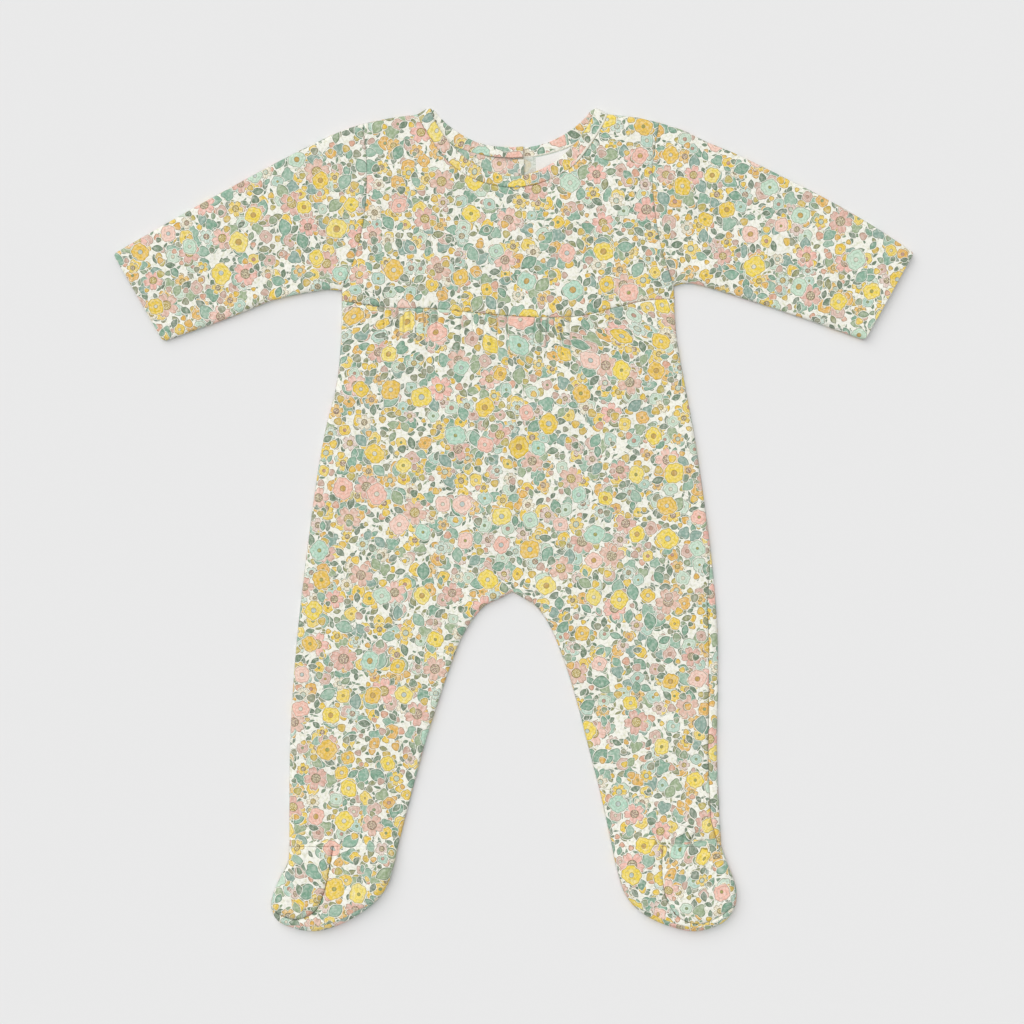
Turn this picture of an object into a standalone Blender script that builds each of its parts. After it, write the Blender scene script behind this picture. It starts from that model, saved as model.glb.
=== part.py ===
"""A footed baby sleepsuit, size 0 to 3 months, laid flat on its back.

It lies on the plane z = 0 with the neck towards +Y. Left and right are those of someone who looks
down on it. All tables and sizes are in millimetres, and finish() turns them into metres.

Every wall starts as a plan, a grid of points in XY. drape() lifts a plan into the two skins of the
cloth: the suit is folded along its outline, so the front layer rolls down to half height there and
the back layer rolls up to meet it.
"""

import bmesh
import bpy
import numpy as np

# Heights and thicknesses
LAID = 4.8  # both layers of the suit, one on the other
FOOT_LAID = 8.0  # the feet are stiffer, with seam allowances inside
WALL = 1.3
FOOT_WALL = 2.2
ROLL = 3.2  # how far in from the outline the cloth takes to roll over
FOOT_ROLL = 5.5
FOOT_FROM = -205.0  # the height rises from here
FOOT_RISE = 26.0  # over this length
GAP = 0.3  # between pieces at a seam
ON_OUTLINE = 0.06  # a point this near the outline is on it

# Neck, placket and label
NECK_X = -0.5  # the neck's centre
BAND_WALL = 1.5
BAND_ROUND = 0.35  # how much the band's free edge thins
OVERLAP = 7.0  # the back ends of the band cross the centre by this much
OVERLAP_LIFT = 2.7  # the upper end lies this much higher
LIFT_FROM, LIFT_TO = -24.0, -10.0
PLACKET = (2 * OVERLAP, 60.0, 1.0)
PLACKET_TOP = 239.5
LABEL = (23.0, 34.0, 0.5)
LABEL_CORNER = (14.9, 240.2)
STUD_RADIUS, STUD_HEIGHT = 3.8, 0.6

# Outline, x and y in mm. Straight and evenly curved stretches have few points.
SIDE_LEFT = (
    (-114.3, 152.0), (-114.8, 122.0), (-117.8, 90.0), (-126.0, 56.0), (-132.6, 16.0),
    (-138.2, -27.0), (-143.2, -70.0), (-146.8, -112.0), (-148.9, -155.0), (-149.3, -217.5),
)
SIDE_RIGHT = (
    (106.6, 155.0), (108.6, 122.0), (114.0, 90.0), (120.4, 56.0), (126.4, 16.0),
    (132.0, -27.0), (135.6, -70.0), (136.1, -112.0), (135.6, -160.0), (138.3, -217.5),
)
INSEAM_LEFT = (
    (-0.7, -48.5), (-8.5, -52.6), (-20.5, -59.0), (-32.4, -75.3), (-40.8, -94.5),
    (-48.8, -118.0), (-57.6, -145.0), (-67.2, -180.0), (-76.8, -217.5),
)
INSEAM_RIGHT = (
    (-0.7, -48.5), (6.6, -52.6), (15.6, -58.6), (24.4, -71.6), (33.4, -93.5),
    (41.6, -119.5), (50.0, -152.0), (58.4, -185.0), (65.5, -217.5),
)
FOOT_LEFT_OUTER = (
    (-149.3, -217.5), (-150.2, -228.5), (-157.2, -242.5), (-161.3, -257.0), (-155.0, -268.6),
    (-134.0, -274.3),
)
FOOT_LEFT_INNER = (
    (-76.8, -217.5), (-79.3, -229.4), (-84.4, -245.0), (-94.8, -257.4), (-113.4, -269.0),
    (-134.0, -274.3),
)
FOOT_RIGHT_OUTER = (
    (138.3, -217.5), (142.4, -229.4), (148.0, -245.0), (147.2, -258.5), (138.0, -269.3),
    (120.0, -274.3),
)
FOOT_RIGHT_INNER = (
    (65.5, -217.5), (68.6, -232.0), (74.0, -249.0), (84.0, -261.0), (99.4, -269.4),
    (120.0, -274.3),
)
SLEEVE_TOP_LEFT = (
    (-100.0, 263.3), (-114.0, 258.7), (-131.5, 250.7), (-155.3, 238.8), (-184.5, 223.0),
    (-215.8, 205.7), (-266.4, 176.6),
)
SLEEVE_TOP_RIGHT = (
    (97.0, 264.0), (113.4, 258.7), (129.8, 250.7), (149.3, 242.7), (181.9, 226.8),
    (210.5, 212.1), (240.0, 195.0), (266.6, 177.4),
)
UNDERARM_LEFT = (
    (-114.3, 152.0), (-121.5, 152.6), (-132.0, 151.6), (-160.0, 145.6), (-192.5, 132.8),
    (-233.1, 118.2),
)
UNDERARM_RIGHT = (
    (106.6, 155.0), (115.0, 157.0), (125.5, 155.4), (154.0, 146.6), (193.2, 133.6), (233.8, 119.0),
)
SHOULDER_LEFT = ((-62.8, 269.6), (-82.0, 267.0), (-100.0, 263.3))
SHOULDER_RIGHT = ((62.8, 269.6), (82.0, 267.4), (97.0, 264.0))
BAND_TIP = ((62.8, 269.6), (55.4, 274.2))  # the fold of the neckband, right side

# Inner seams, x and y in mm
ARMHOLE_LEFT = ((-114.3, 152.0), (-103.8, 180.0), (-98.8, 206.0), (-97.6, 234.0), (-100.0, 263.3))
ARMHOLE_RIGHT = ((106.6, 155.0), (98.4, 181.0), (94.0, 206.0), (92.6, 234.0), (97.0, 264.0))
YOKE_SEAM = (
    (-114.4, 145.2), (-85.5, 141.0), (-52.0, 140.0), (-29.0, 137.7), (-3.7, 135.3), (25.6, 134.3),
    (47.5, 135.7), (66.0, 140.4), (88.0, 145.4), (107.2, 146.6),
)
# The right halves of the neck's curves, from the centre outwards, x from NECK_X
FRONT_EDGE = (
    (0.0, 228.0), (11.0, 229.8), (21.0, 233.8), (30.0, 239.2), (37.8, 246.0), (44.0, 252.8),
    (49.2, 260.4), (53.0, 267.2), (55.9, 274.2),
)
FRONT_SEAM = (
    (0.0, 220.8), (14.0, 222.6), (27.0, 227.0), (38.0, 233.4), (45.0, 240.0), (51.0, 248.0),
    (56.4, 256.0), (60.4, 262.8), (63.3, 269.6),
)
BACK_EDGE = (
    (0.0, 247.5), (12.0, 248.2), (22.6, 250.7), (31.6, 254.8), (38.2, 259.0), (44.0, 263.4),
    (49.0, 268.2), (55.9, 274.2),
)
BACK_SEAM = (
    (0.0, 240.4), (12.0, 241.2), (24.0, 243.5), (34.0, 246.6), (42.4, 250.2), (49.0, 255.2),
    (56.0, 262.4), (63.3, 269.6),
)
FOOT_SEAM_LEFT = (
    (-120.0, -217.5), (-122.6, -233.0), (-126.0, -248.0), (-132.0, -260.6), (-144.0, -265.9),
    (-155.0, -263.0), (-161.0, -258.6),
)
FOOT_SEAM_RIGHT = (
    (99.4, -217.5), (98.8, -233.0), (101.0, -250.0), (108.5, -263.2), (122.0, -268.9),
    (135.0, -265.0), (147.4, -256.6),
)
SOLE_STRIP = 3.5  # the sole comes over the lower outline by this much
SOLE_SHOWS = (0.34, 0.78)  # between these shares of the foot's outline, from its outer ankle

# The right side seam lies on the front: y in mm, and how far in from the outline it lies there
ROLLED_SEAM = ((160.0, 0.0), (-20.0, 0.0), (-58.0, 6.0), (-200.0, 6.0), (-217.5, 2.0))

# Gathers along the yoke seam: x of the first ridge, ridge to ridge, how many
GATHERS_LEFT = ((-84.0, 4.3, 8), (-33.0, 8.0, 4))
GATHERS_RIGHT = ((15.5, 4.6, 5),)
GATHER_UP, GATHER_DOWN = 0.9, 0.45
GATHER_LENGTH = 26.0
# Elastic gathers above the ankles: share of the leg's width where they start and end, height
ANKLE_LEFT = (0.10, 0.62, 0.30)
ANKLE_RIGHT = (0.42, 0.84, 0.60)
ANKLE_LENGTH = 13.0

# Soft folds of the front: start x, y, end x, y, half width, height (below zero a trough)
FOLDS = (
    (-59.0, 122.0, -54.0, 84.0, 5.0, -0.55),
    (-3.0, 133.0, -1.0, 54.0, 7.0, 0.50),
    (-12.0, 128.0, -9.0, 62.0, 5.0, -0.40),
    (25.0, 130.0, 26.0, 96.0, 6.0, -0.45),
    (2.0, 30.0, 6.0, -6.0, 5.0, -0.45),
    (6.0, -6.0, 20.0, -32.0, 6.0, -0.45),
    (-10.0, -34.0, -26.0, -22.0, 5.0, -0.40),
    (9.0, -36.0, 26.0, -28.0, 5.0, -0.40),
    (-104.0, 168.0, -132.0, 190.0, 7.0, -0.60),
    (-112.0, 160.0, -150.0, 166.0, 6.0, 0.60),
    (98.0, 172.0, 124.0, 196.0, 7.0, -0.50),
    (106.0, 162.0, 140.0, 168.0, 6.0, 0.50),
    (-122.0, 96.0, -96.0, 84.0, 7.0, -0.40),
    (110.0, 84.0, 84.0, 74.0, 7.0, -0.35),
)
GROOVE = (2.0, -0.35)  # half width and depth of the dip along a seam

EDGE = (0.0, 0.9, 2.2, 3.8)  # a plan's first columns, this far in from the outline
FOOT_EDGE = (0.0, 1.1, 3.0, 5.8)
# Shares of a seam's length where the pieces on both its sides have their rows or columns
ARMHOLE_AT = np.array([0, 0.008, 0.02, 0.035, 0.16, 0.33, 0.5, 0.67, 0.84, 0.965, 0.98, 0.992, 1])
FRONT_NECK_AT = np.linspace(0, 1, 23)
BACK_NECK_AT = np.array([0, 0.13, 0.26, 0.39, 0.52, 0.65, 0.77, 0.87, 0.94, 0.97, 0.985, 1])
SHOULDER_AT = np.array([0, 0.06, 0.3, 0.65, 1])
LEG_AT = np.array([0, 5, 11, 19, 30, 45, 64, 86, 109, 131, 150, 166, 177.6, 184, 188, 190.7]) / 190.7
BODY_Y = (116.0, 96.0, 72.0, 46.0, 20.0, -4.0, -24.0, -40.0)  # rows at the sides, down the body
WAIST = 145.0  # where the rows down the body start
GATHER_ROWS = np.array([0.0, 2.4, 6.0, 11.0, 18.0, 27.0])  # rows below the yoke seam
FOOT_SEAM_AT = np.array([0, 3, 9, 18, 28, 38, 48, 58, 67, 75, 82, 88, 93, 97, 100]) / 100

FABRIC = (0.80, 0.76, 0.58)
LABEL_WHITE = (0.90, 0.89, 0.86)
STEEL = (0.62, 0.62, 0.60)


# Curves and plans


def ease(t):
    """A smooth step from 0 to 1."""
    t = np.clip(t, 0.0, 1.0)
    return t * t * (3 - 2 * t)


def curve(points, step=2.0):
    """A Catmull-Rom curve through the points, as a polyline with a point about every step."""
    p = np.array(points, float)
    p = np.vstack([2 * p[0] - p[1], p, 2 * p[-1] - p[-2]])
    pieces = []
    for a, b, c, d in zip(p, p[1:], p[2:], p[3:]):
        count = max(1, round(float(np.hypot(*(c - b))) / step))
        t = np.arange(count)[:, None] / count
        bend = (2 * a - 5 * b + 4 * c - d) * t**2 + (3 * b - a - 3 * c + d) * t**3
        pieces.append(0.5 * (2 * b + (c - a) * t + bend))
    return np.vstack([*pieces, p[-2:-1]])


def length(line):
    return float(np.hypot(*np.diff(line, axis=0).T).sum())


def along(line, share):
    """The points of a polyline at these shares of its length."""
    run = np.concatenate([[0.0], np.cumsum(np.hypot(*np.diff(line, axis=0).T))])
    at = np.asarray(share) * run[-1]
    return np.stack([np.interp(at, run, line[:, 0]), np.interp(at, run, line[:, 1])], -1)


def beside(line, distance):
    """The polyline moved to its left by distance, a number or one for each point."""
    way = np.gradient(line, axis=0)
    way /= np.hypot(*way.T)[:, None]
    return line + np.stack([-way[:, 1], way[:, 0]], -1) * np.reshape(distance, (-1, 1))


def cut(line, y):
    """The share of a falling polyline's length at which it crosses y."""
    run = np.concatenate([[0.0], np.cumsum(np.hypot(*np.diff(line, axis=0).T))])
    return float(np.interp(-y, -line[:, 1], run)) / run[-1]


def join(*lines):
    return np.vstack([lines[0], *[line[1:] for line in lines[1:]]])


def mirrored(half):
    """Both halves of a neck curve, from left to right."""
    right = curve(half) * [1, 1] + [NECK_X, 0]
    left = curve(half)[::-1] * [-1, 1] + [NECK_X, 0]
    return join(left, right)


def ruled(first, last, share):
    """Rows of points from first[i] to last[i] at these shares of the way."""
    return first[:, None] + (last - first)[:, None] * np.asarray(share)[None, :, None]


def progress(line):
    """Each point's share of a line's length."""
    run = np.concatenate([[0.0], np.cumsum(np.hypot(*np.diff(line, axis=0).T))])
    return run / run[-1]


def patch(bottom, top, left, right):
    """A Coons patch: the plan between four rows of points, opposite ones equally many."""
    u = ((progress(bottom) + progress(top)) / 2)[None, :, None]
    v = ((progress(left) + progress(right)) / 2)[:, None, None]
    b, t, l, r = bottom[None], top[None], left[:, None], right[:, None]
    low, high = (1 - u) * b[:, :1] + u * b[:, -1:], (1 - u) * t[:, :1] + u * t[:, -1:]
    return (1 - v) * (b - low) + v * (t - high) + (1 - u) * l + u * r


def graded(width, first, last, inside):
    """Shares across a width: edge columns at either end that has them, and plain ones between."""
    start = np.array(first) / width if len(first) else np.zeros(1)
    end = 1 - np.array(last)[::-1] / width if len(last) else np.ones(1)
    between = np.linspace(start[-1], end[0], inside + 2)[1:-1]
    return np.concatenate([start, between, end])


# The outline, along which the suit is folded. Each runs with the suit on its left.
def fold_lines():
    tip_right = curve(BAND_TIP)
    tip_left = tip_right * [-1, 1] + [2 * NECK_X, 0]
    return [
        curve(SIDE_LEFT),
        curve(SIDE_RIGHT)[::-1],
        curve(INSEAM_LEFT)[::-1],
        curve(INSEAM_RIGHT),
        join(curve(FOOT_LEFT_OUTER), curve(FOOT_LEFT_INNER)[::-1]),
        join(curve(FOOT_RIGHT_INNER), curve(FOOT_RIGHT_OUTER)[::-1]),
        join(curve(SHOULDER_LEFT), curve(SLEEVE_TOP_LEFT)),
        join(curve(SHOULDER_RIGHT), curve(SLEEVE_TOP_RIGHT))[::-1],
        curve(UNDERARM_LEFT)[::-1],
        curve(UNDERARM_RIGHT),
        tip_right,
        tip_left[::-1],
    ]


def seam_lines():
    return [
        curve(ARMHOLE_LEFT),
        curve(ARMHOLE_RIGHT),
        curve(YOKE_SEAM),
        mirrored(FRONT_SEAM),
        np.array([SIDE_LEFT[-1], INSEAM_LEFT[-1]]),
        np.array([INSEAM_RIGHT[-1], SIDE_RIGHT[-1]]),
        curve(FOOT_SEAM_LEFT),
        curve(FOOT_SEAM_RIGHT),
    ]


def nearest(plan, lines):
    """How far each point of a plan is from the lines, and the way to the left of the nearest one."""
    start = np.vstack([line[:-1] for line in lines])
    way = np.vstack([np.diff(line, axis=0) for line in lines])
    size = np.hypot(*way.T)
    points = plan.reshape(-1, 1, 2)
    share = np.clip(((points - start) * way).sum(-1) / size**2, 0, 1)
    off = points - (start + share[..., None] * way)
    far = np.hypot(off[..., 0], off[..., 1])
    best = far.argmin(1)
    left = np.stack([-way[:, 1], way[:, 0]], -1) / size[:, None]
    shape = plan.shape[:-1]
    return far[np.arange(len(best)), best].reshape(shape), left[best].reshape(*shape, 2)


FOLD_LINES = fold_lines()
SEAM_LINES = seam_lines()


def relief(plan):
    """The front's soft folds, and the dip along its seams."""
    height = np.zeros(plan.shape[:-1])
    for x0, y0, x1, y1, half, rise in FOLDS:
        start, way = np.array([x0, y0]), np.array([x1 - x0, y1 - y0])
        share = ((plan - start) @ way) / (way @ way)
        off = plan - (start + np.clip(share, 0, 1)[..., None] * way)
        height += rise * (1 - ease(np.hypot(off[..., 0], off[..., 1]) / (1.6 * half)))
    away, _ = nearest(plan, SEAM_LINES)
    half, depth = GROOVE
    return height + depth * (1 - ease(away / half))


def drape(plan, side, joint=None, wall=None, extra=0.0):
    """The outer and inner skin over a plan.

    side is 1 where a point belongs to the front layer and -1 for the back. joint is the side that
    its seam at the outline is on, or 0 where the cloth runs round without one. extra is more
    height, of the front's gathers or the band's lifted end.
    """
    side = np.broadcast_to(side, plan.shape[:-1])
    joint = side if joint is None else joint
    foot = ease((FOOT_FROM - plan[..., 1]) / FOOT_RISE)
    laid = LAID + (FOOT_LAID - LAID) * foot
    thick = WALL + (FOOT_WALL - WALL) * foot if wall is None else wall
    roll = ROLL + (FOOT_ROLL - ROLL) * foot
    far, inward = nearest(plan, FOLD_LINES)
    far[far < ON_OUTLINE] = 0
    turn = 1 - np.minimum(far / roll, 1)
    rise = np.sqrt(1 - turn**2)
    middle = laid / 2 + joint * GAP / 2
    bumps = (side > 0) * relief(plan) * rise**2 + extra
    outer = middle + (np.where(side > 0, laid, 0) - middle) * rise + bumps
    inner = middle + (np.where(side > 0, laid - thick, thick) - middle) * rise + bumps
    within = plan + inward * (thick * turn)[..., None]
    return np.dstack([plan, outer]), np.dstack([within, inner])


# Meshes


def finish(name, mesh, colour, collection, metallic=0.0):
    """The object of a mesh in millimetres, as one closed body in metres, with its material."""
    shape = bmesh.new()
    shape.from_mesh(mesh)
    bmesh.ops.scale(shape, vec=(0.001, 0.001, 0.001), verts=shape.verts)
    bmesh.ops.recalc_face_normals(shape, faces=shape.faces)
    shape.to_mesh(mesh)
    shape.free()
    mesh.shade_smooth()
    material = bpy.data.materials.new(name)
    material.use_nodes = True
    shader = material.node_tree.nodes["Principled BSDF"]
    shader.inputs["Base Color"].default_value = (*colour, 1)
    shader.inputs["Roughness"].default_value = 0.35 if metallic else 0.85
    shader.inputs["Metallic"].default_value = metallic
    mesh.materials.append(material)
    obj = bpy.data.objects.new(name, mesh)
    collection.objects.link(obj)
    return obj


def cloth(name, plans, colour, collection):
    """One wall from a few grids of (outer, inner) rows. Points that coincide are one.

    A grid is a list of rows, and a row maps a column's number to its (outer, inner) points. Where
    one row has fewer columns than the next, its cells take in the columns between.
    """
    outer, inner, numbers, faces = [], [], {}, []

    def number(pair):
        key = tuple(np.round(pair[0], 3))
        if key not in numbers:
            numbers[key] = len(outer)
            outer.append(pair[0])
            inner.append(pair[1])
        return numbers[key]

    for rows in plans:
        rows = [{column: number(pair) for column, pair in row.items()} for row in rows]
        for upper, lower in zip(rows, rows[1:]):
            fewer = list(min(upper, lower, key=len))
            for a, b in zip(fewer, fewer[1:]):
                there = [upper[c] for c in upper if a <= c <= b]
                back = [lower[c] for c in lower if a <= c <= b][::-1]
                face = list(dict.fromkeys(there + back))
                if len(face) > 2:
                    faces.append(face)
    count = len(outer)
    edges = {}
    for face in faces:
        for pair in zip(face, face[1:] + face[:1]):
            edges.setdefault(frozenset(pair), []).append(pair)
    rim = [pairs[0] for pairs in edges.values() if len(pairs) == 1]
    faces += [[v + count for v in face] for face in faces]
    faces += [[b, a, a + count, b + count] for a, b in rim]
    mesh = bpy.data.meshes.new(name)
    mesh.from_pydata([tuple(p) for p in outer + inner], [], faces)
    mesh.validate()
    return finish(name, mesh, colour, collection)


def rows_of(skins, columns=None):
    """A grid's rows from its two skins. columns picks, for each row, the columns it keeps."""
    outer, inner = skins
    rows = []
    for i in range(len(outer)):
        kept = range(outer.shape[1]) if columns is None else columns[i]
        rows.append({c: (outer[i, c], inner[i, c]) for c in kept})
    return rows


# The sub-parts


def gather_columns(groups, start, end, plain):
    """Columns along the yoke seam between x = start and end, and which are ridges or troughs.

    A group's ridges and troughs alternate, half a pitch apart. plain is how many columns go into
    each stretch without gathers.
    """
    xs, waves = [start], [0.0]
    for (first, pitch, ridges), count in zip(groups, plain):
        xs += list(np.linspace(xs[-1], first - pitch / 2, count + 2)[1:])
        waves += [0.0] * (count + 1)
        for k in range(2 * ridges):
            xs.append(first + k * pitch / 2)
            waves.append(GATHER_UP if k % 2 == 0 else -GATHER_DOWN)
        waves[-1] = 0.0
    xs += list(np.linspace(xs[-1], end, plain[-1] + 2)[1:])
    waves += [0.0] * (plain[-1] + 1)
    return np.array(xs), np.array(waves)


def front_half(sign, side, inseam, groups, plain, ankle, rolled):
    """Half of the gathered front with its leg, as a grid from the side seam to the centre."""
    side, inseam = curve(side), curve(inseam)
    yoke = beside(curve(YOKE_SEAM), -GAP / 2)
    yoke_side, centre = (0 if sign < 0 else -1), inseam[0, 0]
    top_y = yoke[yoke_side, 1]
    lap = np.interp(-side[:, 1], [-y for y, _ in rolled], [w for _, w in rolled])
    lap = lap + GAP / 2 * np.minimum(lap / 1.5, 1)
    seam = beside(side, -sign * lap)
    # Columns: the gathers' own at the yoke, and an even spread lower down
    edge_x = yoke[yoke_side, 0]
    if sign < 0:
        xs, waves = gather_columns(groups, edge_x + EDGE[-1], centre, plain)
        xs = np.concatenate([edge_x + np.array(EDGE[:-1]), xs])
    else:
        xs, waves = gather_columns(groups, centre, edge_x - EDGE[-1], plain)
        xs = np.concatenate([xs, edge_x - np.array(EDGE[:-1])[::-1]])[::-1]
        waves = waves[::-1]
    waves = np.concatenate([np.zeros(len(EDGE) - 1), waves])
    at_yoke = np.abs(xs - xs[0]) / abs(centre - edge_x)
    count = len(xs)
    even = graded(abs(centre - edge_x), EDGE, EDGE, count - 2 * len(EDGE))
    # The body, from the yoke seam to the crotch
    heads = np.stack([xs, np.interp(xs, yoke[:, 0], yoke[:, 1])], -1)
    crotch_y = inseam[0, 1]
    body_y = np.array([*(top_y - GATHER_ROWS), *BODY_Y[1:], crotch_y])
    body_side = along(seam, [cut(seam, y) for y in body_y])
    fallen = np.array([*GATHER_ROWS, *(WAIST - np.array(BODY_Y[1:])), WAIST - crotch_y])
    fallen /= WAIST - crotch_y
    centre_y = heads[-1, 1] + (crotch_y - heads[-1, 1]) * fallen
    body_centre = np.stack([np.full(len(body_y), centre), centre_y], -1)
    sag = heads - ruled(heads[:1], heads[-1:], at_yoke)[0]
    body = []
    for i, fall in enumerate(top_y - body_y):
        share = at_yoke + (even - at_yoke) * ease(fall / 150)
        row = ruled(body_side[i : i + 1], body_centre[i : i + 1], share)[0]
        body.append(row + sag * (1 - ease(fall / 60)))
    # The leg, from the crotch to the ankle
    side_at = cut(seam, crotch_y)
    leg = ruled(along(seam, side_at + (1 - side_at) * LEG_AT), along(inseam, LEG_AT), even)
    leg[-1, :, 1] += GAP / 2
    plan = np.concatenate([np.array(body), leg[1:]])
    # The heights of the gathers, by column
    down = np.concatenate([top_y - body_y, top_y - crotch_y + LEG_AT[1:] * length(inseam)])
    below = down / GATHER_LENGTH
    swell = (0.45 + 0.55 * ease(below * 4)) * (1 - ease(below))
    extra = swell[:, None] * waves[None]
    first, last, height = ankle
    above_ankle = (down[-1] - down) / ANKLE_LENGTH
    elastic = ease(1 - above_ankle) * (above_ankle < 1)
    wave = np.where((even > first) & (even < last), height * (-1.0) ** np.arange(count), 0)
    extra = extra + elastic[:, None] * wave[None]
    # Half of the inner columns stop where the gathers have faded
    thin = [*range(len(EDGE)), *range(len(EDGE) + 1, count - len(EDGE) - 1, 2)]
    thin += range(count - len(EDGE), count)
    full = list(range(count))
    columns = [full if swell[i] > 0.02 or elastic[i] > 0.02 else thin for i in range(len(plan))]
    return rows_of(drape(plan, 1, extra=extra), columns)


def front_body(collection):
    no_roll = ((160.0, 0.0), (-217.5, 0.0))
    left = front_half(
        -1, SIDE_LEFT, INSEAM_LEFT, GATHERS_LEFT, (2, 1, 0), ANKLE_LEFT, no_roll
    )
    right = front_half(
        1, SIDE_RIGHT, INSEAM_RIGHT, GATHERS_RIGHT, (1, 5), ANKLE_RIGHT, ROLLED_SEAM
    )
    return cloth("front_body", [left, right], FABRIC, collection)


def front_yoke(collection):
    """The top of the front: yoke seam, sides with the armholes, shoulders and the neck's seam."""
    seam = beside(curve(YOKE_SEAM), GAP / 2)
    armholes = [along(curve(line), ARMHOLE_AT) for line in (ARMHOLE_LEFT, ARMHOLE_RIGHT)]
    left = np.vstack([seam[:1], beside(armholes[0], -GAP / 2)])
    right = np.vstack([seam[-1:], beside(armholes[1], GAP / 2)])
    neck = beside(along(mirrored(FRONT_SEAM), FRONT_NECK_AT), -GAP)
    shoulder_left = along(curve(SHOULDER_LEFT)[::-1], SHOULDER_AT)
    shoulder_right = along(curve(SHOULDER_RIGHT), SHOULDER_AT)
    top = np.vstack([left[-1:], shoulder_left[1:-1], neck, shoulder_right[1:-1], right[-1:]])
    bottom = along(seam, (progress(top) + np.linspace(0, 1, len(top))) / 2)
    left, right = (
        np.vstack([line[:1], line[:1] + (line[1] - line[0]) * GROOVE[0] / 8, line[1:]])
        for line in (left, right)
    )
    plan = patch(bottom, top, left, right)
    return cloth("front_yoke", [rows_of(drape(plan, 1))], FABRIC, collection)


def back_half(sign, side, inseam, armhole, shoulder, rolled):
    """Half of the back, from shoulder and neck to the ankle, as two grids that share a row."""
    side, inseam = curve(side), curve(inseam)
    centre = sign * GAP / 2
    waist = side[0, 1] - 8.0
    armhole = beside(along(curve(armhole), ARMHOLE_AT), sign * GAP / 2)
    outer_side = np.vstack([along(side, cut(side, waist)), armhole])
    neck = along(curve(BACK_SEAM), BACK_NECK_AT)[::-1] * [sign, 1] + [NECK_X, 0]
    neck = beside(neck, sign * GAP)
    neck[-1, 0] = centre
    shoulder = along(curve(shoulder)[::-1], SHOULDER_AT)[1:-1]
    top = np.vstack([outer_side[-1:], shoulder, neck])
    count = len(top)
    shares = graded(114.0, EDGE, (), count - len(EDGE) - 1)
    bottom = ruled(outer_side[:1], np.array([[centre, waist]]), shares)[0]
    middle = ruled(bottom[-1:], neck[-1:], progress(outer_side))[0]
    upper = patch(bottom, top, outer_side, middle)
    even = graded(120.0, EDGE, EDGE, count - 2 * len(EDGE))
    body_y = np.array([waist, *BODY_Y, inseam[0, 1]])
    body_side = along(side, [cut(side, y) for y in body_y])
    body_centre = np.stack([np.full(len(body_y), centre), body_y], -1)
    body = [
        ruled(body_side[i : i + 1], body_centre[i : i + 1], shares + (even - shares) * v)[0]
        for i, v in enumerate(ease(np.linspace(0, 1.6, len(body_y))))
    ]
    inner_leg = along(inseam, LEG_AT)
    inner_leg[0, 0] = centre
    side_at = cut(side, inseam[0, 1])
    leg = ruled(along(side, side_at + (1 - side_at) * LEG_AT), inner_leg, even)
    leg[-1, :, 1] += GAP / 2
    plans = [upper, np.concatenate([np.array(body), leg[1:]])]
    grids = [rows_of(drape(plan, -1)) for plan in plans]
    # Where the side seam lies on the front, the back runs on over the outline to reach it
    outline = plans[1][:, 0]
    lap = np.interp(-outline[:, 1], [-y for y, _ in rolled], [w for _, w in rolled])
    lap = lap - GAP / 2 * np.minimum(lap / 1.5, 1)
    if lap.max() > 0:
        over = np.stack([beside(outline, -sign * lap * share) for share in (1, 0.6, 0.3, 0.12, 0)], 1)
        grids.append(rows_of(drape(over, 1, joint=-1)))
    return grids


def backs(collection):
    no_roll = ((160.0, 0.0), (-217.5, 0.0))
    halves = (
        ("back_left", -1, SIDE_LEFT, INSEAM_LEFT, ARMHOLE_LEFT, SHOULDER_LEFT, no_roll),
        ("back_right", 1, SIDE_RIGHT, INSEAM_RIGHT, ARMHOLE_RIGHT, SHOULDER_RIGHT, ROLLED_SEAM),
    )
    for name, *half in halves:
        cloth(name, back_half(*half), FABRIC, collection)


def sleeve(name, sign, top, underarm, armhole, collection):
    """A flattened tube from the armhole to the open cuff, closed round both folds."""
    at = np.array([0, 2.2, 12, 26, 44, 66, 90, 114, 138, 156, 168, 174]) / 174
    share = 1 - ARMHOLE_AT[::-1]
    plan = ruled(along(curve(top), at), along(curve(underarm), at), share)
    # The armhole's bow fades along the sleeve
    bow = beside(along(curve(armhole), ARMHOLE_AT), -sign * GAP / 2)[::-1] - plan[0]
    plan = plan + bow[None] * (1 - ease(at / 0.42))[:, None, None]
    front = drape(plan, 1, joint=0)
    back = drape(plan, -1, joint=0)
    return cloth(name, [rows_of(front), rows_of(back)], FABRIC, collection)


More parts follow.
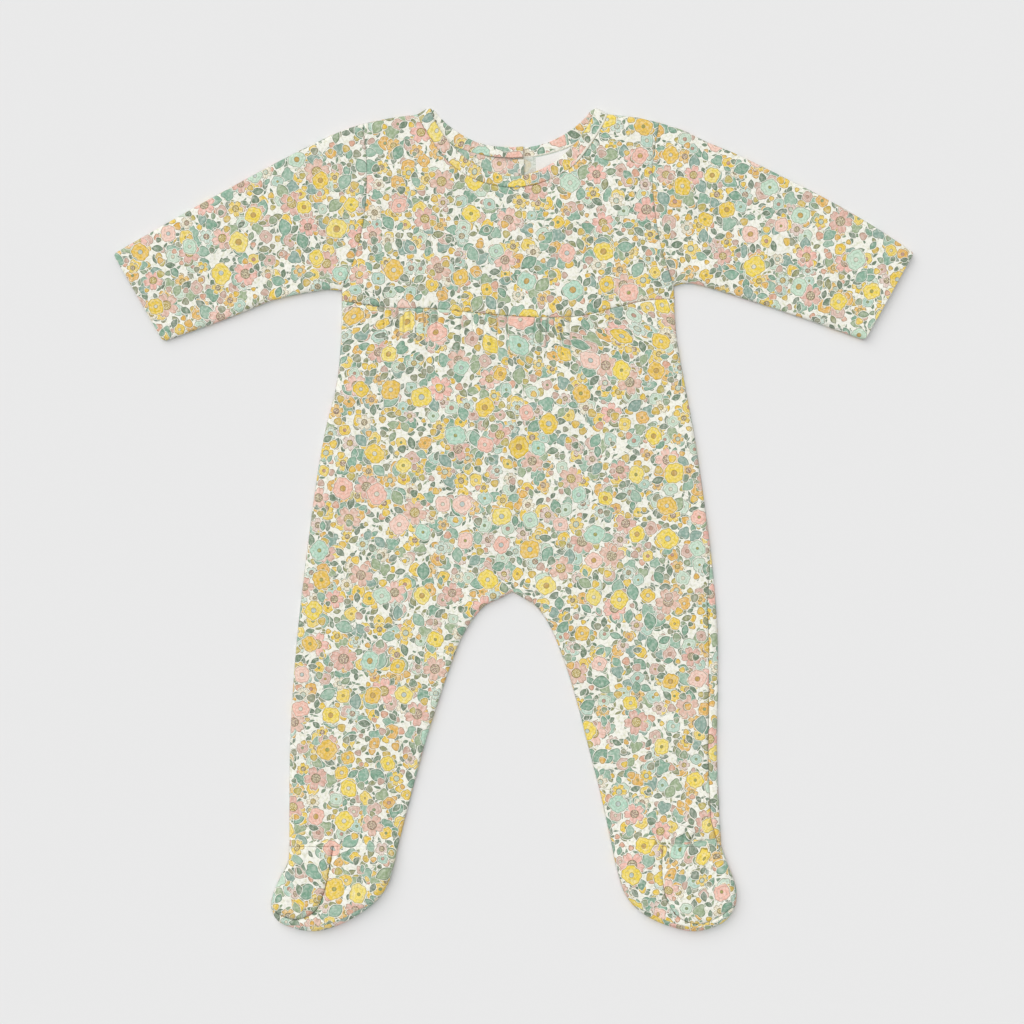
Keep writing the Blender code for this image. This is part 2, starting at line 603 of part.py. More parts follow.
def neckband(collection):
    """One strip round the neck: back end, left fold, front, right fold, back end."""
    across = [0.0, 0.14, 0.5, 0.86, 1.0]
    front = ruled(
        along(mirrored(FRONT_SEAM), FRONT_NECK_AT), along(mirrored(FRONT_EDGE), FRONT_NECK_AT), across
    )
    back_seam, back_edge = curve(BACK_SEAM), curve(BACK_EDGE)
    right = ruled(along(back_seam, BACK_NECK_AT), along(back_edge, BACK_NECK_AT), across)
    right = right + [NECK_X, 0]
    left = right * [-1, 1] + [2 * NECK_X, 0]
    # Both back ends run past the centre
    end = np.array([[0.5], [1.0]]) * [OVERLAP, 0.5]
    stub = ruled(*[np.tile(line[:1], (2, 1)) for line in (back_seam, back_edge)], across)
    left = np.concatenate([(stub + end[:, None])[::-1], left])
    right = np.concatenate([(stub + end[:, None] * [-1, 1])[::-1], right])
    thin = np.array([0, 0, 0, 0, 1.0]) * BAND_ROUND
    lift = OVERLAP_LIFT * ease((left[..., 0] - LIFT_FROM) / (LIFT_TO - LIFT_FROM))
    grids = []
    for plan, side, extra in ((left, -1, lift), (front, 1, 0.0), (right[::-1], -1, 0.0)):
        outer, inner = drape(plan, side, joint=0, wall=BAND_WALL, extra=extra)
        if side > 0:
            outer[..., 2] -= thin
        inner[..., 2] += side * thin
        grids.append(rows_of((outer, inner)))
    return cloth("neckband", grids, FABRIC, collection)


def foot(sign, side_name, outer, inner, seam, collection):
    """The three pieces of a foot: the puffed top, the side round the heel, and the sole."""
    seam = curve(seam)
    around = join(curve(outer), curve(inner)[::-1])
    falling = around[: around[:, 1].argmin()]
    ankle_y = around[0, 1] - GAP / 2

    def share_at(y):
        return cut(falling, y) * length(falling) / length(around)

    def level(plan):
        """The first row of a piece lies along the ankle's seam."""
        plan[0, :, 1] = ankle_y
        return plan

    # The top, from the outline to the curved seam
    rim = along(around, share_at(seam[-1, 1] + 0.3) * FOOT_SEAM_AT)
    line = beside(along(seam, FOOT_SEAM_AT), sign * GAP * 0.75)
    plan = level(ruled(rim, line, graded(32.0, FOOT_EDGE, (0.0, 2.0), 2)))
    cloth(f"foot_top_{side_name}", [rows_of(drape(plan, 1))], FABRIC, collection)
    # The side, from the curved seam to the sole's, which climbs onto the top below the heel
    side_at = 1 - (1 - share_at(seam[-1, 1] - 2.0)) * FOOT_SEAM_AT
    start, end = SOLE_SHOWS

    def climb(share):
        return SOLE_STRIP * ease((share - start) / 0.08) * ease((end - share) / 0.12)

    strip = climb(side_at)
    parted = GAP / 2 * np.minimum(strip / 1.5, 1)
    rim = beside(along(around, side_at), sign * (strip + parted))
    line = beside(along(seam, FOOT_SEAM_AT), -sign * GAP * 0.75)
    plan = level(ruled(line, rim, graded(45.0, (0.0, 2.0), FOOT_EDGE, 2)))
    cloth(f"foot_side_{side_name}", [rows_of(drape(plan, 1))], FABRIC, collection)
    # The sole: from its seam over the outline and under the foot
    at = np.concatenate([side_at[-1] * np.linspace(0, 1, 9)[:-1], side_at[::-1]])
    edge = along(around, at)
    inward = np.stack([beside(edge, -sign * distance) for distance in (*FOOT_EDGE, 9.0)], 1)
    inward[[0, -1], :, 1] = ankle_y
    strip = climb(at)
    over = strip - GAP / 2 * np.minimum(strip / 1.5, 1)
    lip = np.stack([beside(edge, -sign * over * k) for k in (1, 0.6, 0.25, 0)], 1)
    lip[[0, -1], :, 1] = ankle_y
    under = drape(inward, -1)
    ring = list(zip(under[0][:, -1], under[1][:, -1]))
    half = len(ring) // 2 + 1
    middle = [dict(enumerate(ring[:half])), dict(enumerate(ring[::-1][:half]))]
    grids = [rows_of(under), rows_of(drape(lip, 1, joint=-1)), middle]
    cloth(f"sole_{side_name}", grids, FABRIC, collection)


def block(name, size, centre, colour, collection):
    """A plain flat piece from a cube."""
    bpy.ops.mesh.primitive_cube_add(size=1)
    cube = bpy.context.object
    mesh = cube.data
    bpy.data.objects.remove(cube)
    for vertex in mesh.vertices:
        vertex.co = [c * s + m for c, s, m in zip(vertex.co, size, centre)]
    return finish(name, mesh, colour, collection)


def closure(collection):
    """The placket on the back's inside, the label, and the press stud between the band's ends."""
    _, long, thick = PLACKET
    z = WALL + GAP + thick / 2
    block("back_placket", PLACKET, (0, PLACKET_TOP - long / 2, z), FABRIC, collection)
    width, long, thick = LABEL
    x, y = LABEL_CORNER
    centre = (x + width / 2, y - long / 2, WALL + GAP + thick / 2)
    block("label", LABEL, centre, LABEL_WHITE, collection)
    bpy.ops.mesh.primitive_cylinder_add(
        vertices=24, radius=STUD_RADIUS, depth=STUD_HEIGHT, end_fill_type="NGON"
    )
    disc = bpy.context.object
    mesh = disc.data
    bpy.data.objects.remove(disc)
    for vertex in mesh.vertices:
        vertex.co.y += (BACK_SEAM[0][1] + BACK_EDGE[0][1]) / 2
        vertex.co.z += BAND_WALL + GAP + STUD_HEIGHT / 2
    finish("press_stud", mesh, STEEL, collection, metallic=1.0)


def main():
    for obj in list(bpy.data.objects):
        bpy.data.objects.remove(obj, do_unlink=True)
    collection = bpy.data.collections.new("baby_sleepsuit")
    bpy.context.scene.collection.children.link(collection)
    front_yoke(collection)
    front_body(collection)
    backs(collection)
    sleeve("sleeve_left", -1, SLEEVE_TOP_LEFT, UNDERARM_LEFT, ARMHOLE_LEFT, collection)
    sleeve("sleeve_right", 1, SLEEVE_TOP_RIGHT, UNDERARM_RIGHT, ARMHOLE_RIGHT, collection)
    neckband(collection)
    foot(-1, "left", FOOT_LEFT_OUTER, FOOT_LEFT_INNER, FOOT_SEAM_LEFT, collection)
    foot(1, "right", FOOT_RIGHT_OUTER, FOOT_RIGHT_INNER, FOOT_SEAM_RIGHT, collection)
    closure(collection)


main()
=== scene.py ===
# %% [markdown]
# # A footed baby sleepsuit, laid flat
#
# The suit is sewn from cotton jersey and lies on its back with the front up. This lesson dresses
# the imported solids: each panel of cloth is made again as a thin shell on its solid's form, with
# finer folds, gathers and seams, and gets a printed jersey material built from nodes.
#
# The first cell loads the solids. They stay where they are.

# %% The frame
import math

import bpy
import numpy as np
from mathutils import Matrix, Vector
from mathutils.geometry import delaunay_2d_cdt


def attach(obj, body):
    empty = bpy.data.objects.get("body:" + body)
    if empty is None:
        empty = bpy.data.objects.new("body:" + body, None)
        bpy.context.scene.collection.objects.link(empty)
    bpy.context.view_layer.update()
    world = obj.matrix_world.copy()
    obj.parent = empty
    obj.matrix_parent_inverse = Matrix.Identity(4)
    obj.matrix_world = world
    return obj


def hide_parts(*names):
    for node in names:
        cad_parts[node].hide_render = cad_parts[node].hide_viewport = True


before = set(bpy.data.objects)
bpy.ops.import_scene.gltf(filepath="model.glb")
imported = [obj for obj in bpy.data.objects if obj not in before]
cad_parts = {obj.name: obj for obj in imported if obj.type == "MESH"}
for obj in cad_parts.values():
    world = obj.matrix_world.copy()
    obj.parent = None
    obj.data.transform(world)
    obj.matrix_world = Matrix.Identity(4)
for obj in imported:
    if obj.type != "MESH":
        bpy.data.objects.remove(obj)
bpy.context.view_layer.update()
MM = 0.001
chance = np.random.default_rng(11)
print("solids:", len(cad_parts))

# %% [markdown]
# ## The pattern's lines
#
# A laid garment is easiest to draw from above, as a pattern cutter would: its outline, which is
# where the cloth folds over, and the seams that part the panels. Each line is a short table of
# points in millimetres, and a smooth curve runs through them. The solids were made from the same
# lines, so the panels of cloth come to lie exactly on them.

# %% Heights and widths, in millimetres
LAID = 4.8  # both layers, one on the other
FOOT_LAID = 8.0
ROLL = 3.2  # how far in from the outline the cloth takes to roll over
FOOT_ROLL = 5.5
FOOT_FROM, FOOT_RISE = -205.0, 26.0
ANKLE_Y = -217.5
NECK_X = -0.5
CLOTH = 0.7  # how thick the jersey is
BAND = 1.5
print("laid height", LAID, "and in the feet", FOOT_LAID)

# %% The outline, x and y in millimetres
SIDE_LEFT = (
    (-114.3, 152.0), (-114.8, 122.0), (-117.8, 90.0), (-126.0, 56.0), (-132.6, 16.0),
    (-138.2, -27.0), (-143.2, -70.0), (-146.8, -112.0), (-148.9, -155.0), (-149.3, -217.5),
)
SIDE_RIGHT = (
    (106.6, 155.0), (108.6, 122.0), (114.0, 90.0), (120.4, 56.0), (126.4, 16.0),
    (132.0, -27.0), (135.6, -70.0), (136.1, -112.0), (135.6, -160.0), (138.3, -217.5),
)
INSEAM_LEFT = (
    (-0.7, -48.5), (-8.5, -52.6), (-20.5, -59.0), (-32.4, -75.3), (-40.8, -94.5),
    (-48.8, -118.0), (-57.6, -145.0), (-67.2, -180.0), (-76.8, -217.5),
)
INSEAM_RIGHT = (
    (-0.7, -48.5), (6.6, -52.6), (15.6, -58.6), (24.4, -71.6), (33.4, -93.5),
    (41.6, -119.5), (50.0, -152.0), (58.4, -185.0), (65.5, -217.5),
)
FOOT_LEFT_OUTER = (
    (-149.3, -217.5), (-150.2, -228.5), (-157.2, -242.5), (-161.3, -257.0), (-155.0, -268.6),
    (-134.0, -274.3),
)
FOOT_LEFT_INNER = (
    (-76.8, -217.5), (-79.3, -229.4), (-84.4, -245.0), (-94.8, -257.4), (-113.4, -269.0),
    (-134.0, -274.3),
)
FOOT_RIGHT_OUTER = (
    (138.3, -217.5), (142.4, -229.4), (148.0, -245.0), (147.2, -258.5), (138.0, -269.3),
    (120.0, -274.3),
)
FOOT_RIGHT_INNER = (
    (65.5, -217.5), (68.6, -232.0), (74.0, -249.0), (84.0, -261.0), (99.4, -269.4),
    (120.0, -274.3),
)
SLEEVE_TOP_LEFT = (
    (-100.0, 263.3), (-114.0, 258.7), (-131.5, 250.7), (-155.3, 238.8), (-184.5, 223.0),
    (-215.8, 205.7), (-266.4, 176.6),
)
SLEEVE_TOP_RIGHT = (
    (97.0, 264.0), (113.4, 258.7), (129.8, 250.7), (149.3, 242.7), (181.9, 226.8),
    (210.5, 212.1), (240.0, 195.0), (266.6, 177.4),
)
UNDERARM_LEFT = (
    (-114.3, 152.0), (-121.5, 152.6), (-132.0, 151.6), (-160.0, 145.6), (-192.5, 132.8),
    (-233.1, 118.2),
)
UNDERARM_RIGHT = (
    (106.6, 155.0), (115.0, 157.0), (125.5, 155.4), (154.0, 146.6), (193.2, 133.6), (233.8, 119.0),
)
SHOULDER_LEFT = ((-62.8, 269.6), (-82.0, 267.0), (-100.0, 263.3))
SHOULDER_RIGHT = ((62.8, 269.6), (82.0, 267.4), (97.0, 264.0))
BAND_TIP = ((62.8, 269.6), (55.4, 274.2))
print("outline tables read")

# %% The seams, x and y in millimetres
ARMHOLE_LEFT = ((-114.3, 152.0), (-103.8, 180.0), (-98.8, 206.0), (-97.6, 234.0), (-100.0, 263.3))
ARMHOLE_RIGHT = ((106.6, 155.0), (98.4, 181.0), (94.0, 206.0), (92.6, 234.0), (97.0, 264.0))
YOKE_SEAM = (
    (-114.4, 145.2), (-85.5, 141.0), (-52.0, 140.0), (-29.0, 137.7), (-3.7, 135.3), (25.6, 134.3),
    (47.5, 135.7), (66.0, 140.4), (88.0, 145.4), (107.2, 146.6),
)
# Right halves of the neck's curves, from the centre outwards
FRONT_EDGE = (
    (0.0, 228.0), (11.0, 229.8), (21.0, 233.8), (30.0, 239.2), (37.8, 246.0), (44.0, 252.8),
    (49.2, 260.4), (53.0, 267.2), (55.9, 274.2),
)
FRONT_SEAM = (
    (0.0, 220.8), (14.0, 222.6), (27.0, 227.0), (38.0, 233.4), (45.0, 240.0), (51.0, 248.0),
    (56.4, 256.0), (60.4, 262.8), (63.3, 269.6),
)
BACK_EDGE = (
    (0.0, 247.5), (12.0, 248.2), (22.6, 250.7), (31.6, 254.8), (38.2, 259.0), (44.0, 263.4),
    (49.0, 268.2), (55.9, 274.2),
)
BACK_SEAM = (
    (0.0, 240.4), (12.0, 241.2), (24.0, 243.5), (34.0, 246.6), (42.4, 250.2), (49.0, 255.2),
    (56.0, 262.4), (63.3, 269.6),
)
FOOT_SEAM_LEFT = (
    (-120.0, -217.5), (-122.6, -233.0), (-126.0, -248.0), (-132.0, -260.6), (-144.0, -265.9),
    (-155.0, -263.0), (-161.0, -258.6),
)
FOOT_SEAM_RIGHT = (
    (99.4, -217.5), (98.8, -233.0), (101.0, -250.0), (108.5, -263.2), (122.0, -268.9),
    (135.0, -265.0), (147.4, -256.6),
)
SOLE_STRIP = 3.5
SOLE_SHOWS = (0.34, 0.78)
# The right side seam lies on the front: y, and how far in from the outline
ROLLED_SEAM = ((160.0, 0.0), (-20.0, 0.0), (-58.0, 6.0), (-200.0, 6.0), (-217.5, 2.0))
print("seam tables read")

# %% [markdown]
# ## Curves
#
# Two kinds of helper follow. The first make a smooth line from a table, find points along it and
# draw a line beside it, as a seam allowance is drawn. The second join lines into the border of
# a panel.

# %% Curve helpers


def ease(t):
    """A smooth step from 0 to 1."""
    t = np.clip(t, 0.0, 1.0)
    return t * t * (3 - 2 * t)


def curve(points, step=1.6):
    """A smooth curve through the points, as a polyline with a point about every step."""
    p = np.array(points, float)
    p = np.vstack([2 * p[0] - p[1], p, 2 * p[-1] - p[-2]])
    pieces = []
    for a, b, c, d in zip(p, p[1:], p[2:], p[3:]):
        count = max(1, round(float(np.hypot(*(c - b))) / step))
        t = np.arange(count)[:, None] / count
        bend = (2 * a - 5 * b + 4 * c - d) * t**2 + (3 * b - a - 3 * c + d) * t**3
        pieces.append(0.5 * (2 * b + (c - a) * t + bend))
    return np.vstack([*pieces, p[-2:-1]])


def run_of(line):
    """How far along the line each of its points is."""
    return np.concatenate([[0.0], np.cumsum(np.hypot(*np.diff(line, axis=0).T))])


def along(line, share):
    """The points of a polyline at these shares of its length."""
    run = run_of(line)
    at = np.asarray(share) * run[-1]
    return np.stack([np.interp(at, run, line[:, 0]), np.interp(at, run, line[:, 1])], -1)


def spaced(line, step):
    """The polyline again, with its points about step apart."""
    return along(line, np.linspace(0, 1, max(2, round(run_of(line)[-1] / step) + 1)))


def beside(line, distance):
    """The polyline moved to its left by distance, a number or one for each point."""
    way = np.gradient(line, axis=0)
    way /= np.maximum(np.hypot(*way.T), 1e-9)[:, None]
    return line + np.stack([-way[:, 1], way[:, 0]], -1) * np.reshape(distance, (-1, 1))


def inset(line, table, sign):
    """A falling side line moved in by a table of heights and widths."""
    lap = np.interp(-line[:, 1], [-y for y, _ in table], [w for _, w in table])
    return beside(line, -sign * lap), lap


def join(*lines):
    """One line from several that meet end to end."""
    return np.vstack([lines[0], *[line[1:] for line in lines[1:]]])


def mirrored(half):
    """Both halves of a neck curve, from left to right."""
    return curve([(-x, y) for x, y in half[:0:-1]] + list(half)) + [NECK_X, 0]


def through(outer, inner):
    """One curve down an outer table and up an inner one, which meet at their last points."""
    return curve(outer + inner[-2::-1])


def rounded(border, corner, radius):
    """The border with the corner nearest to a point cut round."""
    turn = int(np.hypot(*(border - corner).T).argmin())
    border = np.roll(border, -turn, axis=0)
    far = np.hypot(*(border - border[0]).T)
    first = int((far > radius).argmax())
    last = len(border) - 1 - int((far[::-1] > radius).argmax())
    t = np.linspace(0, 1, 7)[1:-1, None]
    arc = border[last] * (1 - t) ** 2 + border[0] * 2 * t * (1 - t) + border[first] * t**2
    return np.vstack([border[first : last + 1], arc])


print("yoke seam is", round(run_of(curve(YOKE_SEAM))[-1]), "mm long")

# %% [markdown]
# The outline is kept as runs that have the suit on their left. nearest() tells how far a point is
# from them, and which way is inwards. Points are handled a few thousand at a time, because every
# point is held against every short piece of every line.

# %% The outline's runs, and distances from lines
tip_right = curve(BAND_TIP)
tip_left = tip_right * [-1, 1] + [2 * NECK_X, 0]
FOLD_LINES = [
    curve(SIDE_LEFT),
    curve(SIDE_RIGHT)[::-1],
    curve(INSEAM_LEFT)[::-1],
    curve(INSEAM_RIGHT),
    through(FOOT_LEFT_OUTER, FOOT_LEFT_INNER),
    through(FOOT_RIGHT_INNER, FOOT_RIGHT_OUTER),
    join(curve(SHOULDER_LEFT), curve(SLEEVE_TOP_LEFT)),
    join(curve(SHOULDER_RIGHT), curve(SLEEVE_TOP_RIGHT))[::-1],
    curve(UNDERARM_LEFT)[::-1],
    curve(UNDERARM_RIGHT),
    tip_right,
    tip_left[::-1],
]
side_right = curve(SIDE_RIGHT)
rolled, lap = inset(side_right, ROLLED_SEAM, 1)
rolled[-1, 1] = ANKLE_Y
SEAM_LINES = [  # each seam, and how deep it lies beside the others
    (curve(ARMHOLE_LEFT), 1.0),
    (curve(ARMHOLE_RIGHT), 1.0),
    (curve(YOKE_SEAM), 1.3),
    (rolled[lap > 0.2], 1.5),
    (mirrored(FRONT_SEAM), 0.6),
    (np.array([SIDE_LEFT[-1], INSEAM_LEFT[-1]]), 0.15),
    (np.array([INSEAM_RIGHT[-1], SIDE_RIGHT[-1]]), 0.15),
    (curve(FOOT_SEAM_LEFT), 2.3),
    (curve(FOOT_SEAM_RIGHT), 1.2),
]


def nearest(plan, lines, batch=3000):
    """How far each point is from the lines, and the way to the left of the nearest one."""
    start = np.vstack([line[:-1] for line in lines])
    way = np.vstack([np.diff(line, axis=0) for line in lines])
    size = np.hypot(*way.T)
    left = np.stack([-way[:, 1], way[:, 0]], -1) / size[:, None]
    far, best = [], []
    for first in range(0, len(plan), batch):
        points = plan[first : first + batch, None]
        share = np.clip(((points - start) * way).sum(-1) / size**2, 0, 1)
        off = points - (start + share[..., None] * way)
        away = np.hypot(off[..., 0], off[..., 1])
        best.append(away.argmin(1))
        far.append(away.min(1))
    return np.concatenate(far), left[np.concatenate(best)]


print("runs of outline:", len(FOLD_LINES), "and seams:", len(SEAM_LINES))

# %% [markdown]
# ## Folds, gathers and puckers
#
# Soft cloth is never level. Each crease is a stroke: a line from one point to another, a width,
# and a height that fades towards its far end. The large ones are listed one by one. The gathers
# stand in groups below the yoke seam, each with its own length and lean, and small puckers cross
# the seams at uneven distances, where the thread pulls.

# %% Strokes listed one by one: x0, y0, x1, y1, half width, height
FOLDS = (
    (-59.0, 122.0, -54.0, 84.0, 5.0, -0.55),
    (-3.0, 133.0, -1.0, 54.0, 7.0, 0.50),
    (-12.0, 128.0, -9.0, 62.0, 5.0, -0.40),
    (25.0, 130.0, 26.0, 96.0, 6.0, -0.45),
    (2.0, 30.0, 6.0, -6.0, 5.0, -0.45),
    (6.0, -6.0, 20.0, -32.0, 6.0, -0.45),
    (-10.0, -34.0, -26.0, -22.0, 5.0, -0.40),
    (9.0, -36.0, 26.0, -28.0, 5.0, -0.40),
    (-104.0, 168.0, -132.0, 190.0, 7.0, -0.60),
    (-112.0, 160.0, -150.0, 166.0, 6.0, 0.60),
    (98.0, 172.0, 124.0, 196.0, 7.0, -0.50),
    (106.0, 162.0, 140.0, 168.0, 6.0, 0.50),
    (-122.0, 96.0, -96.0, 84.0, 7.0, -0.40),
    (110.0, 84.0, 84.0, 74.0, 7.0, -0.35),
)
FINE_FOLDS = (
    # The crotch
    (-1.0, -47.0, -13.0, -31.0, 1.5, -1.10),
    (2.0, -47.0, 13.0, -33.0, 1.5, -1.05),
    (-0.5, -46.0, -0.5, -24.0, 1.6, -1.00),
    (-6.0, -50.0, -27.0, -42.0, 1.6, -0.95),
    (7.0, -50.0, 28.0, -44.0, 1.6, -0.85),
    # Both underarms
    (-112.0, 153.0, -96.0, 164.0, 1.8, -0.90),
    (-112.0, 151.0, -92.0, 153.0, 2.0, 0.60),
    (105.0, 156.0, 90.0, 166.0, 1.8, -0.85),
    (-116.0, 154.0, -140.0, 176.0, 2.2, -0.95),
    (108.0, 158.0, 133.0, 180.0, 2.2, -0.85),
    # The soft folds that hang from the gathers
    (-57.0, 121.0, -54.0, 84.0, 2.2, -1.05),
    (-6.0, 131.0, -3.5, 92.0, 2.0, -1.15),
    (-4.5, 104.0, -2.0, 52.0, 2.4, -1.00),
    (3.5, 132.0, 5.0, 98.0, 1.9, 0.80),
    (25.0, 134.0, 25.5, 108.0, 1.9, -1.05),
    (2.0, 30.0, 4.5, -5.0, 2.0, -0.90),
    (4.0, 2.0, 19.0, -31.0, 2.1, -0.90),
    # The legs and the sleeves
    (-146.0, -70.0, -118.0, -78.0, 3.0, -0.45),
    (-38.0, -84.0, -62.0, -90.0, 3.0, -0.50),
    (34.0, -84.0, 60.0, -96.0, 3.0, -0.50),
    (-72.0, -186.0, -98.0, -178.0, 3.2, -0.50),
    (60.0, -176.0, 88.0, -170.0, 3.2, -0.45),
    (-180.0, 150.0, -196.0, 176.0, 3.6, -0.50),
    (182.0, 148.0, 200.0, 178.0, 3.6, -0.50),
    # The left ankle and foot
    (-99.4, -185.5, -101.4, -229.0, 1.3, -1.00),
    (-148.0, -212.0, -130.0, -200.0, 1.1, -1.25),
    (-116.0, -220.0, -108.0, -245.0, 1.2, -1.10),
    (-104.0, -230.0, -97.0, -249.0, 1.3, -0.90),
    (-146.0, -224.0, -139.0, -240.0, 1.2, -0.90),
    (-136.0, -221.0, -141.0, -236.0, 1.1, -0.80),
    # The pinch at the right ankle, and what spreads from it
    (127.9, -214.2, 113.0, -215.2, 1.0, -1.90),
    (118.4, -214.6, 126.5, -199.0, 1.0, -1.70),
    (122.5, -214.0, 131.5, -203.0, 1.0, 1.00),
    (123.0, -208.0, 138.0, -224.0, 0.8, -1.60),
    (125.6, -206.0, 141.0, -222.4, 1.0, 0.90),
    (137.0, -222.0, 146.0, -240.0, 0.8, -1.30),
    (104.0, -219.0, 103.0, -243.0, 0.9, -1.10),
    (108.0, -219.0, 108.5, -238.0, 0.8, -0.95),
    (112.0, -219.0, 114.5, -236.0, 0.9, -1.00),
)
# Gathers: first ridge's x, ridge to ridge, how many
GATHERS = ((-84.0, 4.3, 8), (-33.0, 8.0, 4), (15.5, 4.6, 5))
print("strokes by hand:", len(FOLDS) + len(FINE_FOLDS))

# %% Gathers and puckers, uneven but the same each time


def gathers():
    """Ridges and troughs below the yoke seam, each with its own lean, length and height."""
    seam = curve(YOKE_SEAM)
    strokes = []
    for first, pitch, ridges in GATHERS:
        middle = first + pitch * (ridges - 1) / 2
        for k in range(2 * ridges + 1):
            x = first + (k - 0.5) * pitch / 2 + chance.uniform(-0.12, 0.12) * pitch
            y = float(np.interp(x, seam[:, 0], seam[:, 1])) - 0.6
            lean = 0.10 * (x - middle) / pitch + chance.uniform(-0.8, 0.8)
            long = chance.uniform(18, 46)
            high = chance.uniform(0.7, 1.2) if k % 2 else -chance.uniform(1.4, 2.3)
            half = 1.0 if k % 2 else 0.68
            strokes.append((x, y, x + lean * 2.2, y - long, half, high))
    return strokes


def ankle_gathers(x0, x1, y, count, high, spread):
    """Elastic gathers above an ankle, opening like a fan."""
    strokes = []
    for k in range(count):
        share = (k + 0.5) / count
        x = x0 + (x1 - x0) * share + chance.uniform(-0.4, 0.4)
        lean = (share - 0.5) * spread
        top = y + chance.uniform(9, 15)
        rise = high * chance.uniform(0.7, 1.2) * (0.8 if k % 2 else -1.3)
        strokes.append((x, y, x + lean, top, 0.85 if k % 2 else 0.62, rise))
    return strokes


def puckers(line, every, long, high, side=0):
    """Short dips across a seam. side keeps them to one side of it, -1 right or 1 left."""
    at = spaced(line, every)
    way = np.gradient(at, axis=0)
    way /= np.hypot(*way.T)[:, None]
    strokes = []
    for (x, y), (wx, wy) in zip(at[1:-1], way[1:-1]):
        slide = chance.uniform(-0.4, 0.4) * every
        reach = long * chance.uniform(0.5, 1.2) * (side or chance.choice([-1, 1]))
        lean = chance.uniform(-0.35, 0.35)
        x, y = x + wx * slide, y + wy * slide
        end = (x + reach * (-wy + wx * lean), y + reach * (wx + wy * lean))
        strokes.append((x, y, *end, 1.0, -high * chance.uniform(0.5, 1.0)))
    return strokes


def wrinkles(x0, y0, x1, y1, degrees, spread, count, size=1.0):
    """Slight creases over a box, most of them running one way. A smaller size is sharper too."""
    strokes = []
    for _ in range(count):
        x, y = chance.uniform(x0, x1), chance.uniform(y0, y1)
        turn = math.radians(degrees + chance.uniform(-spread, spread))
        long = chance.uniform(12, 34) * size
        rise = chance.uniform(0.28, 0.60) * chance.choice([-1, -1, 1]) / math.sqrt(size)
        end = (x + long * math.cos(turn), y + long * math.sin(turn))
        strokes.append((x, y, *end, chance.uniform(1.4, 2.8) * size, rise))
    return strokes


FRONT_STROKES = [
    *FINE_FOLDS,
    *gathers(),
    *ankle_gathers(-141.0, -112.0, -216.0, 9, 0.75, 6.0),
    *ankle_gathers(95.5, 118.5, -216.0, 9, 1.8, 15.0),
    *puckers(curve(YOKE_SEAM), 4.6, 8.0, 0.50, 1),
    *puckers(curve(ARMHOLE_LEFT), 6.0, 7.0, 0.42),
    *puckers(curve(ARMHOLE_RIGHT), 6.0, 7.0, 0.42),
    *puckers(mirrored(FRONT_SEAM), 5.0, 6.0, 0.40, -1),
    *puckers(curve(FOOT_SEAM_LEFT), 5.0, 6.0, 0.60),
    *puckers(curve(FOOT_SEAM_RIGHT), 5.0, 6.0, 0.55),
    *puckers(curve(SIDE_LEFT), 9.0, 8.0, 0.36, 1),
    *puckers(curve(SIDE_RIGHT), 8.0, 9.0, 0.45, -1),
    *puckers(curve(INSEAM_LEFT), 8.0, 8.0, 0.36, -1),
    *puckers(curve(INSEAM_RIGHT), 8.0, 8.0, 0.36, 1),
    *puckers(curve(UNDERARM_LEFT), 8.0, 8.0, 0.36, -1),
    *puckers(curve(UNDERARM_RIGHT), 8.0, 8.0, 0.36, 1),
    *wrinkles(-100.0, -30.0, 95.0, 125.0, -90, 24, 34),
    *wrinkles(-135.0, -195.0, -60.0, -50.0, -94, 40, 22),
    *wrinkles(45.0, -195.0, 122.0, -50.0, -86, 40, 22),
    *wrinkles(-90.0, 150.0, 85.0, 215.0, -90, 60, 14),
    *wrinkles(-235.0, 145.0, -115.0, 215.0, 28, 40, 16),
    *wrinkles(115.0, 145.0, 235.0, 215.0, 152, 40, 16),
    *wrinkles(-150.0, -262.0, -95.0, -214.0, -70, 60, 36, 0.5),
    *wrinkles(78.0, -262.0, 146.0, -212.0, -110, 60, 40, 0.5),
]
print("strokes in all:", len(FOLDS) + len(FRONT_STROKES))

# %% [markdown]
# A stroke's height falls off to its sides like a bell. Only points near a stroke are touched, so
# hundreds of strokes stay quick. Long, low waves under everything keep the cloth from looking
# ironed.

# %% Heights of the front
TAKEN_UP = 1.1  # cloth that each side of a crease takes up, for each millimetre of its height


def creased(plan, strokes):
    """The height of all strokes over the plan, and how far each point's cloth is drawn aside.

    A crease takes up cloth, so the print runs into it from both sides.
    """
    height, drawn = np.zeros(len(plan)), np.zeros(plan.shape)
    for x0, y0, x1, y1, half, rise in strokes:
        start, way = np.array([x0, y0]), np.array([x1 - x0, y1 - y0])
        margin = 9 * half
        low = np.minimum(start, start + way) - margin
        high = np.maximum(start, start + way) + margin
        near = np.where(((plan > low) & (plan < high)).all(1))[0]
        share = np.clip(((plan[near] - start) @ way) / (way @ way), 0, 1)
        off = plan[near] - (start + share[:, None] * way)
        far = np.hypot(off[:, 0], off[:, 1])
        away = far / (half * (1 + 0.7 * share))
        left = 1 - ease(share)
        height[near] += rise * left * np.exp(-(away**2))
        pull = TAKEN_UP * abs(rise) * left * np.tanh(away) * np.exp(-((away / 4.5) ** 2))
        drawn[near] += off * (pull / np.maximum(far, 1e-9))[:, None]
    return height, drawn


def folds_of_solid(plan):
    """The soft folds that the solids have too."""
    height = np.zeros(len(plan))
    for x0, y0, x1, y1, half, rise in FOLDS:
        start, way = np.array([x0, y0]), np.array([x1 - x0, y1 - y0])
        share = np.clip(((plan - start) @ way) / (way @ way), 0, 1)
        off = plan - (start + share[:, None] * way)
        height += rise * (1 - ease(np.hypot(off[:, 0], off[:, 1]) / (1.6 * half)))
    return height


